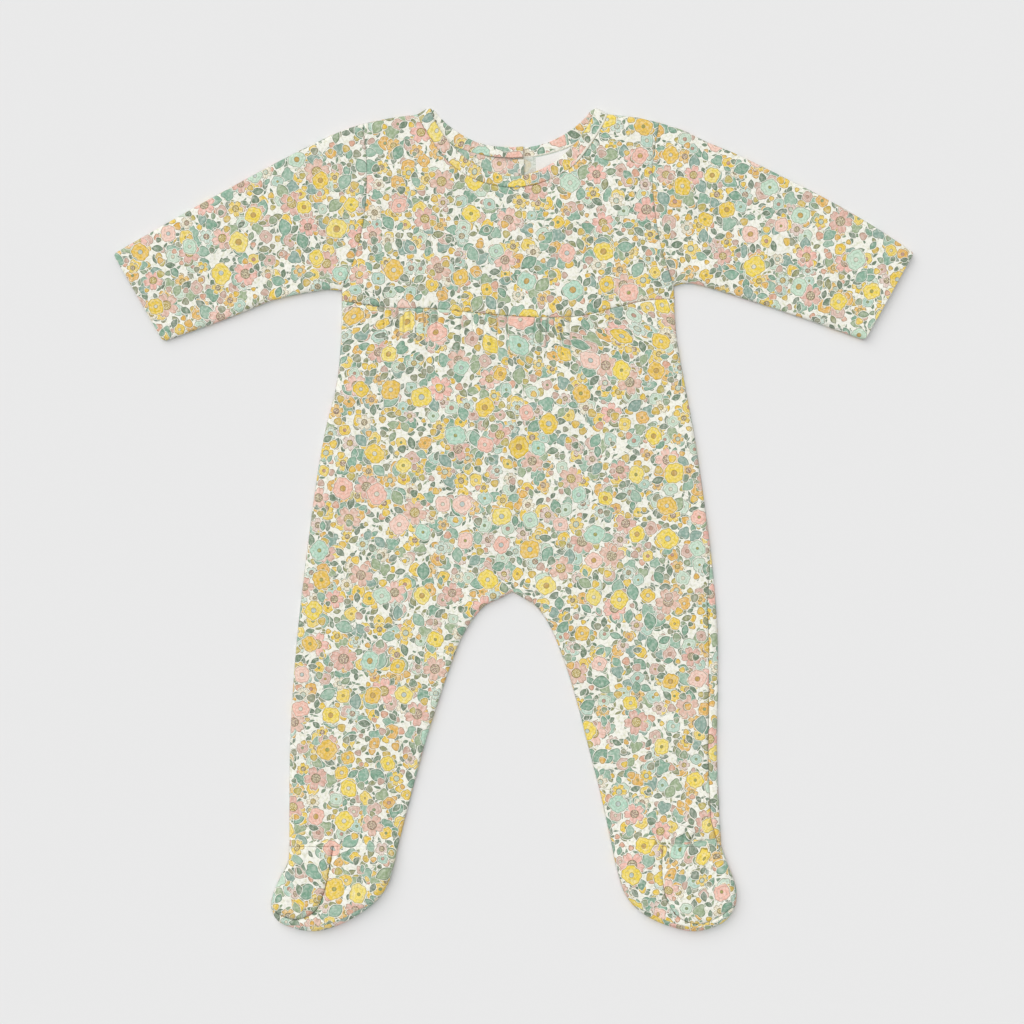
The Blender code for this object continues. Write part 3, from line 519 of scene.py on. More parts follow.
WAVES = [
    (chance.uniform(0, math.tau), chance.uniform(24, 62), chance.uniform(0, math.tau))
    for _ in range(9)
]


def waves(plan, high):
    """Long, low waves in several directions."""
    height = np.zeros(len(plan))
    for turn, wavelength, phase in WAVES:
        way = np.array([math.cos(turn), math.sin(turn)])
        height += high * np.sin(plan @ way * math.tau / wavelength + phase)
    return height


SEAM_DIP, DIP_WIDE = 0.32, 2.2  # the dip along a seam, and how far it reaches
SEAM_TURN, TURN_WIDE = 0.60, 0.6  # how far the very edge of a panel turns down into it
DEEPEST = 2.6  # no crease goes further down, where the back layer lies
FULLER = 1.7  # how much fuller the large folds are than the solids' own
WAVES_HIGH, BACK_WAVES = 0.17, 0.03


def relief(plan):
    """All that stands up from or dips into the front, and how far it draws the print."""
    height, drawn = creased(plan, FRONT_STROKES)
    height += FULLER * folds_of_solid(plan) + waves(plan, WAVES_HIGH)
    for line, deep in SEAM_LINES:
        away, _ = nearest(plan, [line])
        dip = SEAM_DIP * (1 - ease(away / DIP_WIDE))
        height -= deep * (dip + SEAM_TURN * (1 - ease(away / TURN_WIDE)))
    return np.where(height < 0, DEEPEST * np.tanh(height / DEEPEST), height), drawn


ON_THE_FOLD = 0.06  # a point as near to the outline as this lies on it
APART = 0.1  # how far above and below the middle the front and the back end at the outline


def rolled_over(plan, roll):
    """How far the cloth has turned and risen from the outline on, and the way inwards."""
    far, inward = nearest(plan, FOLD_LINES)
    far[far < ON_THE_FOLD] = 0
    turn = 1 - np.minimum(far / roll, 1)
    return turn, np.sqrt(1 - turn**2), inward


def base_height(plan, side, joint):
    """Where the layer lies without its folds, how far it has risen, and its spare at the outline."""
    foot = ease((FOOT_FROM - plan[:, 1]) / FOOT_RISE)
    laid = LAID + (FOOT_LAID - LAID) * foot
    roll = ROLL + (FOOT_ROLL - ROLL) * foot
    turn, rise, inward = rolled_over(plan, roll)
    middle = laid / 2 + joint * APART
    face = laid if side > 0 else np.zeros(len(plan))
    round_run = np.sqrt((roll**2 + (laid / 2) ** 2) / 2) * np.arcsin(turn)
    spare = round_run - roll * turn
    return middle + (face - middle) * rise, rise, -inward * spare[:, None]


print("waves:", len(WAVES))

# %% [markdown]
# ## Cutting a panel
#
# A panel is filled with points like a net: its border, a few rows close inside the border where
# the cloth rolls over or turns into a seam, and an even net elsewhere, closer where there are
# gathers. Delaunay triangulation joins them, and then every point is lifted to its height.

# %% Panel helpers


def inside(plan, border):
    """Which points lie inside a closed border."""
    ends = np.roll(border, -1, axis=0)
    odd = np.zeros(len(plan), bool)
    for (x0, y0), (x1, y1) in zip(border, ends):
        if y0 == y1:
            continue
        spans = (plan[:, 1] < y0) != (plan[:, 1] < y1)
        cross = (x1 - x0) * (plan[:, 1] - y0) / (y1 - y0) + x0
        odd ^= spans & (plan[:, 0] < cross)
    return odd


def net(low, high, step):
    """Points of an even three-way net over a box."""
    rows = np.arange(low[1], high[1], step * math.sqrt(3) / 2)
    columns = np.arange(low[0], high[0], step)
    x, y = np.meshgrid(columns, rows)
    x = x + np.where(np.arange(len(rows)) % 2, step / 2, 0)[:, None]
    return np.stack([x.ravel(), y.ravel()], 1)


def fill(border, step, rows=(0.35, 0.9, 1.7, 2.7, 3.9), fine=()):
    """Points and triangles over a border. fine lists boxes (x0, y0, x1, y1, step) of closer net."""
    closed = np.vstack([border, border[:1]])
    if ((closed[1:, 0] - closed[:-1, 0]) * (closed[1:, 1] + closed[:-1, 1])).sum() > 0:
        border, closed = border[::-1], closed[::-1]
    sets = []
    for row in rows:
        line = beside(np.vstack([border[-1:], closed, border[1:2]]), row)[1:-2]
        far, _ = nearest(line, [closed])
        sets.append(line[far > row * 0.93])
    taken = rows[-1] + step * 0.55
    plain = net(border.min(0), border.max(0), step)
    for x0, y0, x1, y1, closer in fine:
        within = (plain > [x0, y0]).all(1) & (plain < [x1, y1]).all(1)
        plain = np.vstack([plain[~within], net(np.array([x0, y0]), np.array([x1, y1]), closer)])
    far, _ = nearest(plain, [closed])
    sets.append(plain[far > taken])
    points = np.vstack(sets)
    points = points[inside(points, border)]
    verts = [Vector(p) for p in np.vstack([border, points])]
    made = delaunay_2d_cdt(verts, [], [list(range(len(border)))], 1, 1e-4)
    return np.array([tuple(v) for v in made[0]]), [list(face) for face in made[2]]


def body_mesh(name, points, faces, uvs):
    """An object from points in millimetres, with a UV map that has a place for each point."""
    mesh = bpy.data.meshes.new(name)
    mesh.from_pydata([tuple(p) for p in points * MM], [], faces)
    layer = mesh.uv_layers.new(name="print")
    corner = np.zeros(len(mesh.loops), np.int32)
    mesh.loops.foreach_get("vertex_index", corner)
    layer.data.foreach_set("uv", np.asarray(uvs, np.float32)[corner].ravel())
    obj = bpy.data.objects.new(name, mesh)
    bpy.context.scene.collection.objects.link(obj)
    return obj


def on_whole_mesh(obj, operator, **settings):
    """Runs one of edit mode's operators on all of a piece."""
    bpy.ops.object.select_all(action="DESELECT")
    bpy.context.view_layer.objects.active = obj
    obj.select_set(True)
    bpy.ops.object.mode_set(mode="EDIT")
    bpy.ops.mesh.select_all(action="SELECT")
    operator(**settings)
    bpy.ops.object.mode_set(mode="OBJECT")
    obj.select_set(False)


def thicken(obj, thickness, inner_slot=1):
    """A wall inwards from the outer face, as cloth has. The cut edges stay crisp."""
    obj.data.shade_smooth()
    skin = len(obj.data.polygons)
    wall = obj.modifiers.new("wall", "SOLIDIFY")
    wall.thickness = thickness * MM
    wall.offset = -1.0
    wall.use_even_offset = False
    wall.material_offset = inner_slot
    with bpy.context.temp_override(object=obj, active_object=obj):
        bpy.ops.object.modifier_apply(modifier=wall.name)
    for face in obj.data.polygons[2 * skin :]:
        face.use_smooth = False


def area_of(border):
    """The area inside a closed border, in square millimetres."""
    ends = np.roll(border, -1, axis=0)
    return abs((border[:, 0] * ends[:, 1] - ends[:, 0] * border[:, 1]).sum()) / 2


print("helpers ready")

# %% [markdown]
# A printed cloth is cut piece by piece, so the print breaks at every seam. Each panel therefore
# has its own turn and shift on the printed cloth. Where cloth rolls over the outline it is longer
# than it looks from above, and where it is gathered there is more of it than the seam is long, so
# the print gets that extra run too.

# %% Print places
CROWD = 0.34  # how much more cloth there is in a gathered stretch than seam
CROWD_REACH = 34  # how far below the seam it has spread out again


def print_place(plan, spare, turn=0.0, shift=(0.0, 0.0), crowd=False):
    """Where the points of a panel lie on the printed cloth, in metres."""
    at = plan + spare
    if crowd:
        seam = curve(YOKE_SEAM)
        below = np.interp(plan[:, 0], seam[:, 0], seam[:, 1]) - plan[:, 1]
        left = 1 - ease(below / CROWD_REACH)
        for first, pitch, ridges in GATHERS:
            last = first + pitch * (ridges - 1)
            pulled = np.clip(plan[:, 0], first, last) - (first + last) / 2
            at[:, 0] += CROWD * pulled * left
    c, s = math.cos(turn), math.sin(turn)
    return (at @ np.array([[c, s], [-s, c]]) + shift) * MM


print("a gathered stretch has", CROWD, "more cloth")

# %% Layers of a panel
DRIFT_LONG = 26  # a foot's print drifts over this length below the ankle
ROUND_EDGES = 1.04  # the cloth of a panel against its box, which leaves out its rolled edges
CUTS = []  # each piece, its flat width and length in metres, and its area


def layer(
    border, side, step, joint=None, turn=0.0, shift=(0, 0), crowd=False, puff=None, drift=(0, 0),
    **net_of,
):
    """Points, faces and print places of one lifted layer.

    puff adds a height of its own, and drift moves the print over the length of a foot.
    """
    plan, faces = fill(border, step, **net_of)
    height, rise, spare = base_height(plan, side, side if joint is None else joint)
    if side > 0:
        raised, drawn = relief(plan)
        if puff:
            raised = raised + puff(plan)
        height = height + raised * rise**2
        spare = spare + drawn + np.outer(ease((ANKLE_Y - plan[:, 1]) / DRIFT_LONG), drift)
    else:
        height = height + np.maximum(waves(plan, BACK_WAVES) - 0.05, 0) * rise**2
        faces = [face[::-1] for face in faces]
    return np.column_stack([plan, height]), faces, print_place(plan, spare, turn, shift, crowd)


def stacked(*layers):
    """Several layers as one set of points and faces."""
    points, faces, places, start = [], [], [], 0
    for some_points, some_faces, some_places in layers:
        points.append(some_points)
        places.append(some_places)
        faces += [[v + start for v in face] for face in some_faces]
        start += len(some_points)
    return np.vstack(points), faces, np.vstack(places)


def sew(name, layers, border_area, nodes, thickness=CLOTH, lining=None):
    """One shown piece of cloth from its layers: welded, thickened, and set in its node's place."""
    obj = body_mesh(name, *stacked(*layers))
    if len(layers) > 1:
        on_whole_mesh(obj, bpy.ops.mesh.remove_doubles, threshold=0.02 * MM)
    for material in (PRINT, lining or REVERSE):
        obj.data.materials.append(material)
    thicken(obj, thickness)
    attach(obj, "root")
    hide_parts(*nodes)
    corners = np.array([corner[:] for corner in obj.bound_box])
    wide, long, _ = (corners.max(0) - corners.min(0)).tolist()
    CUTS.append((obj, wide * ROUND_EDGES, long * ROUND_EDGES, border_area * 1e-6))
    print(name, len(obj.data.polygons), "faces")


print("layers are lifted, stacked and sewn")

# %% [markdown]
# ## Writing a material as sums
#
# A shader node tree is a sum with boxes and wires. The small class below wraps one socket, so the
# sum can be written as a sum: each operator adds its Math node. One method makes every other
# node.

# %% A wire


def dye(code):
    """A colour from its six-digit code, as the linear values that the shader takes."""
    parts = [int(code[i : i + 2], 16) / 255 for i in (0, 2, 4)]
    return tuple(p / 12.92 if p <= 0.04045 else ((p + 0.055) / 1.055) ** 2.4 for p in parts) + (1.0,)


class Wire:
    """A socket in a node tree that can be added, multiplied and compared."""

    def __init__(self, tree, socket):
        self.tree = tree
        self.socket = socket

    def node(self, kind, settings=(), inputs=(), output=0):
        return add_node(self.tree, kind, settings, inputs, output)

    def maths(self, operation, *others, clamp=False):
        values = [self, *others]
        settings = {"operation": operation, "use_clamp": clamp}
        return self.node("ShaderNodeMath", settings, dict(enumerate(values)))

    def __add__(self, other):
        return self.maths("ADD", other)

    def __sub__(self, other):
        return self.maths("SUBTRACT", other)

    def __rsub__(self, other):
        return self.node("ShaderNodeMath", {"operation": "SUBTRACT"}, {0: other, 1: self})

    def __mul__(self, other):
        return self.maths("MULTIPLY", other)

    def __truediv__(self, other):
        return self.maths("DIVIDE", other)

    def __gt__(self, other):
        return self.maths("GREATER_THAN", other)

    def __lt__(self, other):
        return self.maths("LESS_THAN", other)

    __radd__ = __add__
    __rmul__ = __mul__

    def cos(self):
        return self.maths("COSINE")

    def size(self):
        return self.maths("ABSOLUTE")

    def rest(self):
        return self.maths("FRACT")

    def parts(self, kind="ShaderNodeSeparateXYZ"):
        return [self.node(kind, (), {0: self}, output=i) for i in range(3)]


def plug(tree, node, inputs):
    """Gives a node's sockets their values or wires, by name or number."""
    for key, value in dict(inputs).items():
        if isinstance(value, Wire):
            tree.links.new(value.socket, node.inputs[key])
        else:
            node.inputs[key].default_value = value


def add_node(tree, kind, settings=(), inputs=(), output=0):
    """A new node: its settings, then its sockets' values or wires. It gives one output's wire."""
    made = tree.nodes.new(kind)
    for key, value in dict(settings).items():
        if key == "stops":
            ramp = made.color_ramp
            while len(ramp.elements) < len(value):
                ramp.elements.new(0.5)
            for element, (place, colour) in zip(ramp.elements, value):
                element.position = place
                element.color = colour
        elif key == "interpolation":
            made.color_ramp.interpolation = value
        else:
            setattr(made, key, value)
    plug(tree, made, inputs)
    return Wire(tree, made.outputs[output])


def blend(below, above, mask):
    """The colour above laid over the colour below where the mask is 1."""
    tree = mask.tree
    made = tree.nodes.new("ShaderNodeMix")
    made.data_type = "RGBA"
    plug(tree, made, {0: mask, 6: below, 7: above})  # the sockets for colours
    return Wire(tree, made.outputs[2])


def within(distance, limit, soft=0.17):
    """1 where distance is under limit, with a soft edge, both in millimetres."""
    return ((limit - distance) * (1 / soft) + 0.5).maths("MAXIMUM", 0.0, clamp=True)


def new_material(name):
    """A material, its node tree and its shader node."""
    material = bpy.data.materials.new(name)
    material.use_nodes = True
    tree = material.node_tree
    return material, tree, tree.nodes["Principled BSDF"]


print("a wire adds nodes as sums are written")

# %% [markdown]
# ## The printed jersey
#
# The cloth has a dense print of small garden flowers on cream. A printer's repeat would need an
# image; here each kind of motif is scattered instead. A Voronoi texture gives every point the
# nearest of many jittered centres and a few random numbers for it, and the motif's shape is then
# a sum on the distance and the angle from that centre. Leaves and sprigs come first, buds and
# small flowers over them, and large flowers on top, each with a thin rim of bare ground, so the
# ones below look tucked behind. The motifs and their layout are this lesson's own.

# %% Colours of the print
GROUND = dye("F8F7ED")
GROUND_SHADE = dye("E4E5CA")
YELLOWS = ["F6DA50", "F1CD42", "F6E070", "EFC44C"]
PINKS = ["F8C2B0", "F4B5A3", "F8CFBF"]
MINTS = ["B6DCC6", "C6E2CB", "ACD4C0"]
DUSTY = ["F6BEB0", "E7B7A8", "F5C8B9", "E8BFAD"]
TEALS = ["8AB29B", "7EA68E", "9BBCA6", "8BA99C", "9EB28C"]
LEAVES = ["7F957D", "718870", "93A787", "748671", "979A6E", "839280"]
BUDS = ["E6BE48", "E4B354", "C2B45E", "CCAA9A", "EECA4C", "DFA98E", "959B80", "D6B858"]
SMALLS = ["F5D04A", "EDBA5C", "DFBCAE", "CDE3CF", "F5D866", "BAD9C9"]
BLOSSOMS = ["F5D24E", "F0C470", "E9D2C8", "D2E6D9", "F4ECD4", "F4D66E"]
LARGE = [YELLOWS[0], PINKS[0], MINTS[0], YELLOWS[1], PINKS[2], MINTS[1], YELLOWS[0], *YELLOWS[:1:-1]]
HEARTS = ["A9A961", "DDDDCC", "BFCCC6", "C9A65E"]
SMALL_HEARTS = ["C2AE64", "8FA67C", "DEDBC6", "C49B8B"]
SPECKLED = ["9D8F7A", "A58A80", "B9A35E", "B5C9C0"]
LINE = dye("7E6E4A")
EDGE = dye("50644C")
print("colours:", len(YELLOWS + PINKS + MINTS + DUSTY + TEALS + LEAVES + BUDS + SMALLS + BLOSSOMS))

# %% Scattering motifs


def pick(number, codes):
    """One of the colours, by a number from 0 to 1."""
    stops = [(i / len(codes), dye(code)) for i, code in enumerate(codes)]
    settings = {"stops": stops, "interpolation": "CONSTANT"}
    return number.node("ShaderNodeValToRGB", settings, {0: number})


def scatter(place, pitch, turn, shift, jitter=0.6, drift=0.6):
    """Around the nearest centre: the way from it in mm, turned at random, and random numbers.

    The third number picks the colour. It drifts slowly over the cloth, so like colours gather.
    """
    moved = place.node(
        "ShaderNodeMapping", (), {"Vector": place, "Rotation": (0, 0, turn), "Location": (*shift, 0)}
    )
    settings = {"voronoi_dimensions": "2D", "feature": "F1"}
    inputs = {"Vector": moved, "Scale": 1 / pitch, "Randomness": jitter}
    centre = place.node("ShaderNodeTexVoronoi", settings, inputs, output="Position")
    tree = place.tree
    cells = centre.socket.node
    off = place.node("ShaderNodeVectorMath", {"operation": "SUBTRACT"}, {0: moved, 1: centre})
    colour = Wire(tree, cells.outputs["Color"])
    a, b, c = colour.parts("ShaderNodeSeparateColor")
    settings = {"rotation_type": "Z_AXIS"}
    turned = off.node("ShaderNodeVectorRotate", settings, {"Vector": off, "Angle": a * math.tau})
    d, e = (a * 61.7 + b * 37.3).rest(), (b * 53.1 + c * 71.9).rest()
    slow = {"Vector": centre, "Scale": 0.045, "Detail": 0.0}
    cloud = place.node("ShaderNodeTexNoise", {"noise_dimensions": "2D"}, slow)
    return turned, (a, b, (c + (cloud - 0.5) * drift * 4).rest(), d, e)


def polar(off):
    """Distance and angle of a way."""
    x, y, _ = off.parts()
    return (x * x + y * y).maths("SQRT"), y.maths("ARCTAN2", x)


def lay(below, colour, distance, halo=0.30):
    """A motif with a rim of ground round it. distance is to its edge, below 0 inside."""
    below = blend(below, GROUND, within(distance, halo, 0.2))
    return blend(below, colour, within(distance, 0.0))


def washed(colour, wash, deep=0.30):
    """A fill as a brush leaves it, paler in places. wash is a slow noise."""
    return blend(colour, GROUND, (wash - 0.42).maths("MAXIMUM", 0.0) * (deep * 3.2))


def outlined(colour, line, edge, strength):
    """The fill with a thin, soft line just inside its edge."""
    return blend(colour, line, within((edge + 0.22).size(), 0.18, 0.2) * strength)


# %% Leaves and sprigs


def leaf_edge(x, y, long, wide):
    """How far outside a pointed leaf's edge a point is, about."""
    full = 1 - (x / long) * (x / long)
    return y.size() - full * wide


def leaves(below, place, wash, pitch, turn, shift, long, wide, codes, there, rib=0.0):
    """Pointed leaves, each bent a little its own way. there is the share of them that grow."""
    off, (_, b, c, d, e) = scatter(place, pitch, turn, shift)
    x, y, _ = off.parts()
    grown = 0.75 + d * 0.5
    x, y = x / grown, y / grown
    edge = leaf_edge(x, y - x * x * ((e - 0.5) * 0.1), long, wide) * 0.8 + (b > there) * 9
    colour = washed(pick(c, codes), wash)
    if rib:
        colour = blend(colour, EDGE, within(y.size(), 0.10) * (x.size() < long * 0.7) * rib)
    return lay(below, outlined(colour, EDGE, edge, 0.7), edge)


def lobed_leaves(below, place, wash, pitch, turn, shift, wide, codes, there):
    """Broad leaves with three round lobes and faint veins."""
    off, (_, b, c, d, _) = scatter(place, pitch, turn, shift)
    r, angle = polar(off)
    reach = (0.8 + d * 0.4) * wide
    wave = (angle * 3).cos() * 0.16 + (angle * 5 + c * 6).cos() * 0.07
    edge = r - reach * (1 + wave) + (b > there) * 30
    vein = within((angle * 1.5).cos().size(), 0.05, 0.12) * (r < reach * 0.8)
    colour = blend(washed(pick(c, codes), wash), EDGE, vein * 0.3)
    return lay(below, outlined(colour, EDGE, edge, 0.7), edge)


def sprigs(below, place, pitch, turn, shift, codes):
    """A curved stem with small leaves in pairs."""
    off, (_, _, c, _, _) = scatter(place, pitch, turn, shift, jitter=0.4)
    x, y, _ = off.parts()
    y = y + x * x * 0.05 - 0.8
    reach = x.size() - 7.4
    stem = within((y.size() - 0.14).maths("MAXIMUM", reach), 0.0)
    below = blend(below, LINE, stem * 0.6)
    step = ((x + 50) / 5.0).rest() * 5.0 - 2.5
    side = y.size() - 2.0
    lean = step + side * -0.75
    edge = leaf_edge(side + lean * 0.4, lean, 1.9, 1.25).maths("MAXIMUM", reach)
    return lay(below, pick(c, codes), edge * 0.8, 0.2)


# %% Buds and flowers


def buds(below, place, wash, pitch, turn, shift, wide, codes, there):
    """Closed buds and berries, more or less pear-shaped."""
    off, (_, b, c, d, e) = scatter(place, pitch, turn, shift)
    r, angle = polar(off)
    shape = 1 + angle.cos() * (e * 0.5 - 0.35) + (angle * 3).cos() * 0.10
    edge = r - (0.7 + d * 0.6) * wide * shape + (b > there) * 9
    return lay(below, outlined(washed(pick(c, codes), wash), LINE, edge, 0.75), edge)


def round_flowers(below, place, wash, pitch, turn, shift, wide, codes, hearts, there, frill=9):
    """Open round flowers with a frilled edge, fine veins and a small heart."""
    off, (_, b, c, d, e) = scatter(place, pitch, turn, shift, jitter=0.5)
    r, angle = polar(off)
    reach = (0.8 + d * 0.36) * wide
    wave = (angle * frill).cos() * 0.035 + (angle * 4 + c * 6).cos() * 0.055
    wave = wave + (angle * 2 + e * 6).cos() * 0.06
    edge = r - reach * (1 + wave) + (b > there) * 30
    vein = within((angle * 7 + (r * 1.3).cos() * 0.4).cos().size(), 0.10, 0.2) * (r > reach * 0.34)
    colour = blend(washed(pick(c, codes), wash, 0.36), LINE, vein * 0.3)
    inner = within((r - reach * 0.6 * (1 + wave * 1.8)).size(), 0.12, 0.2)
    colour = outlined(blend(colour, LINE, inner * 0.42), LINE, edge, 0.75)
    heart = r - reach * (0.16 + e * 0.16)
    colour = blend(colour, pick(e, hearts), within(heart, 0.0))
    colour = blend(colour, LINE, within(heart.size(), 0.16, 0.2) * 0.8)
    return lay(below, colour, edge)


def petal_flowers(below, place, wash, speck, pitch, turn, shift, wide, codes, hearts, there):
    """Blossoms of five notched petals round a large speckled heart."""
    off, (_, b, c, d, e) = scatter(place, pitch, turn, shift, jitter=0.5)
    r, angle = polar(off)
    reach = (0.82 + d * 0.3) * wide
    lobe = (angle * 2.5).cos().size()
    notch = (lobe - 0.93).maths("MAXIMUM", 0.0) * 1.5
    edge = (r - reach * (lobe.maths("POWER", 0.5) * 0.66 + 0.34 - notch)) * 0.75 + (b > there) * 30
    shade = within((lobe - 0.97).size(), 0.02, 0.03) * (r < reach * 0.86)
    colour = blend(washed(pick(c, codes), wash, 0.36), LINE, shade * 0.3)
    colour = outlined(colour, LINE, edge, 0.75)
    heart = r - reach * 0.36
    dots = blend(pick(e, hearts), dye("EFE5BC"), within(speck, 0.30, 0.24))
    colour = blend(colour, dots, within(heart, 0.0))
    colour = blend(colour, LINE, within(heart.size(), 0.18, 0.2))
    return lay(below, colour, edge)


print("motif kinds: pointed and lobed leaves, sprigs, buds, round flowers, petal flowers")

# %% [markdown]
# The jersey itself is a fine knit: columns of tiny loops that only show close up. They go into the
# bump, and faintly into the colour as painted shade where the knit dips between its loops. The
# colour also has the slow unevenness of the dye and the yarn. The reverse of a printed cloth is
# paler, because little of the dye comes through.

# %% The jersey
YARN = 0.8  # how strongly the yarn's unevenness shows
KNIT_COLUMN, KNIT_ROW = 0.72, 0.95  # the loops' width and height, in millimetres


def printed(place, wash):
    """The print's colour at a place on the cloth, in millimetres, layer upon layer."""
    settings = {"voronoi_dimensions": "2D"}
    speck = place.node("ShaderNodeTexVoronoi", settings, {"Vector": place, "Scale": 1.15})
    at, dotted = (place, wash), (place, wash, speck)
    colour = blend(GROUND, GROUND_SHADE, (wash - 0.5).maths("MAXIMUM", 0.0) * 4)
    colour = sprigs(colour, place, 16.5, 0.4, (3, 8), LEAVES)
    colour = leaves(colour, *at, 7.6, 1.1, (31, 7), 3.0, 1.7, LEAVES, 0.78)
    colour = buds(colour, *at, 8.4, 0.25, (17, 29), 2.15, BUDS, 0.85)
    colour = lobed_leaves(colour, *at, 14.0, 0.7, (11, 47), 4.0, TEALS, 0.7)
    colour = round_flowers(colour, *at, 13.0, 0.9, (5, 61), 4.2, SMALLS, SMALL_HEARTS, 0.7, 7)
    colour = petal_flowers(colour, *dotted, 15.5, 0.3, (51, 33), 5.0, BLOSSOMS, SPECKLED, 0.62)
    colour = leaves(colour, *at, 10.8, 0.35, (77, 91), 3.5, 2.0, LEAVES + TEALS[:2], 0.5)
    colour = leaves(colour, *at, 15.5, 0.15, (101, 147), 5.0, 3.4, TEALS, 0.42, 0.3)
    colour = petal_flowers(colour, *dotted, 26.0, 0.55, (71, 13), 8.2, DUSTY, SPECKLED[:3], 0.48)
    colour = buds(colour, *at, 11.4, 0.85, (57, 79), 2.15, BUDS + LEAVES[:3], 0.5)
    return round_flowers(colour, *at, 22.0, 0.12, (43, 3), 6.0, LARGE, HEARTS, 0.55)


def jersey(name, reverse=0.0, plain=False):
    """Printed jersey. reverse is how far it pales to the back of the cloth."""
    material, tree, shader = new_material(name)
    where = add_node(tree, "ShaderNodeUVMap", {"uv_map": "print"})
    scale = {0: where, 1: (1000.0, 1000.0, 1000.0)}
    place = add_node(tree, "ShaderNodeVectorMath", {"operation": "MULTIPLY"}, scale)
    noise = {"Vector": place, "Scale": 0.42, "Detail": 2.0, "Roughness": 0.6}
    wash = add_node(tree, "ShaderNodeTexNoise", {"noise_dimensions": "2D"}, noise)
    colour = blend(GROUND, dye("E8E3CF"), wash) if plain else printed(place, wash)
    if reverse:
        colour = blend(colour, dye("D3DAD3"), (wash - 0.5) * 0.2 + reverse)
    x, y, _ = place.parts()
    columns = (x * (math.tau / KNIT_COLUMN)).cos()
    loops = columns * (y * (math.tau / KNIT_ROW) + (x * 4.36).cos() * 1.2).cos()
    # painted shade: the colour darkens a little where the knit's loops dip
    colour = blend(colour, dye("7D7F6C"), (0.35 - loops) * 0.05)
    noise = {"Vector": place, "Scale": 0.62, "Detail": 2.0}
    yarn = add_node(tree, "ShaderNodeTexNoise", {"noise_dimensions": "2D"}, noise)
    colour = blend(colour, dye("74755F"), (0.5 - yarn) * YARN)
    colour = blend(colour, dye("FFFDF2"), (yarn - 0.5) * YARN)
    knit = {"Strength": 0.22, "Distance": 0.00010, "Height": loops}
    bump = add_node(tree, "ShaderNodeBump", (), knit)
    looks = {"Base Color": colour, "Normal": bump, "Roughness": 0.92, "Specular IOR Level": 0.18}
    plug(tree, shader, {**looks, "Sheen Weight": 0.12, "Sheen Roughness": 0.6})
    return material


PRINT = jersey("printed_jersey")
REVERSE = jersey("jersey_reverse", reverse=0.72)
FACING = jersey("jersey_facing", reverse=0.12)
BINDING = jersey("binding_edge", plain=True)
print("nodes in the print:", len(PRINT.node_tree.nodes))

# %% [markdown]
# ## The body's panels
#
# The yoke and the gathered front lie on top, the two halves of the back below. Each border is
# walked once round: seam, side, ankle, inner leg and back again. On the right the side seam has
# rolled onto the front, so there the front ends short of the outline, and the back runs over it.

# %% Borders of the front


def below(line, y):
    """The part of a falling line from height y down."""
    kept = line[line[:, 1] < y - 0.3]
    return np.vstack([[np.interp(-y, -line[:, 1], line[:, 0]), y], kept])


side_left = curve(SIDE_LEFT)
inseam_left, inseam_right = curve(INSEAM_LEFT), curve(INSEAM_RIGHT)
yoke_seam = curve(YOKE_SEAM, 0.6)
ankle_left = spaced(np.array([SIDE_LEFT[-1], INSEAM_LEFT[-1]]), 0.8)
ankle_right = spaced(np.array([INSEAM_RIGHT[-1], rolled[-1]]), 0.6)
front_border = join(
    below(side_left, yoke_seam[0, 1]),
    ankle_left,
    inseam_left[::-1],
    inseam_right,
    ankle_right,
    below(rolled, yoke_seam[-1, 1])[::-1],
    yoke_seam[::-1],
)[:-1]
armhole_left, armhole_right = curve(ARMHOLE_LEFT), curve(ARMHOLE_RIGHT)
shoulder_left, shoulder_right = curve(SHOULDER_LEFT), curve(SHOULDER_RIGHT)
yoke_border = join(
    yoke_seam,
    side_right[side_right[:, 1] > yoke_seam[-1, 1] + 0.3][::-1],
    armhole_right,
    shoulder_right[::-1],
    mirrored(FRONT_SEAM)[::-1],
    shoulder_left,
    armhole_left[::-1],
    side_left[side_left[:, 1] > yoke_seam[0, 1] + 0.3],
)
print("front border:", len(front_border), "points; yoke border:", len(yoke_border))

# %% The front's two panels
gather_boxes = [
    (-90.0, 96.0, -48.0, 118.0, 0.9),
    (-90.0, 118.0, -48.0, 142.0, 0.55),
    (-38.0, 88.0, 42.0, 112.0, 0.95),
    (-38.0, 112.0, -2.0, 139.0, 0.6),
    (-2.0, 112.0, 42.0, 139.0, 0.55),
]
ankle_boxes = [(-148.0, -217.0, -98.0, -199.0, 0.8), (93.0, -217.0, 134.0, -197.0, 0.6)]
crotch_box = [(-32.0, -52.0, 32.0, -22.0, 1.1)]
finer = gather_boxes + ankle_boxes + crotch_box
LEG_PRINT = {"turn": 0.06, "shift": (400, 60)}  # runs on from the legs into the feet
sew(
    "front_body_cloth",
    [layer(front_border, 1, 2.1, **LEG_PRINT, crowd=True, fine=finer)],
    area_of(front_border) * 1.05,
    ["front_body"],
)
sew(
    "front_yoke_cloth",
    [layer(yoke_border, 1, 1.9, turn=-0.05, shift=(90, 340))],
    area_of(yoke_border) * 1.02,
    ["front_yoke"],
)

# %% [markdown]
# The back is cut in two halves, with the seam and the opening down its middle. It carries the
# suit, so its underside is level, and its inner face is what shows in the neck.

# %% The back's halves
BACK_WALL = 1.3


def back_border(sign, side, inseam, armhole, shoulder):
    """Round one half: side, ankle, inner leg, centre, neck, shoulder, armhole."""
    neck = curve(BACK_SEAM) * [sign, 1] + [NECK_X, 0]
    neck[0, 0] = 0.0
    crotch = inseam.copy()
    crotch[0, 0] = 0.0
    centre = spaced(np.array([crotch[0], neck[0]]), 2.5)
    ankle = spaced(np.array([side[-1], inseam[-1]]), 2.0)
    return join(side, ankle, crotch[::-1], centre, neck, shoulder, armhole[::-1])[:-1]


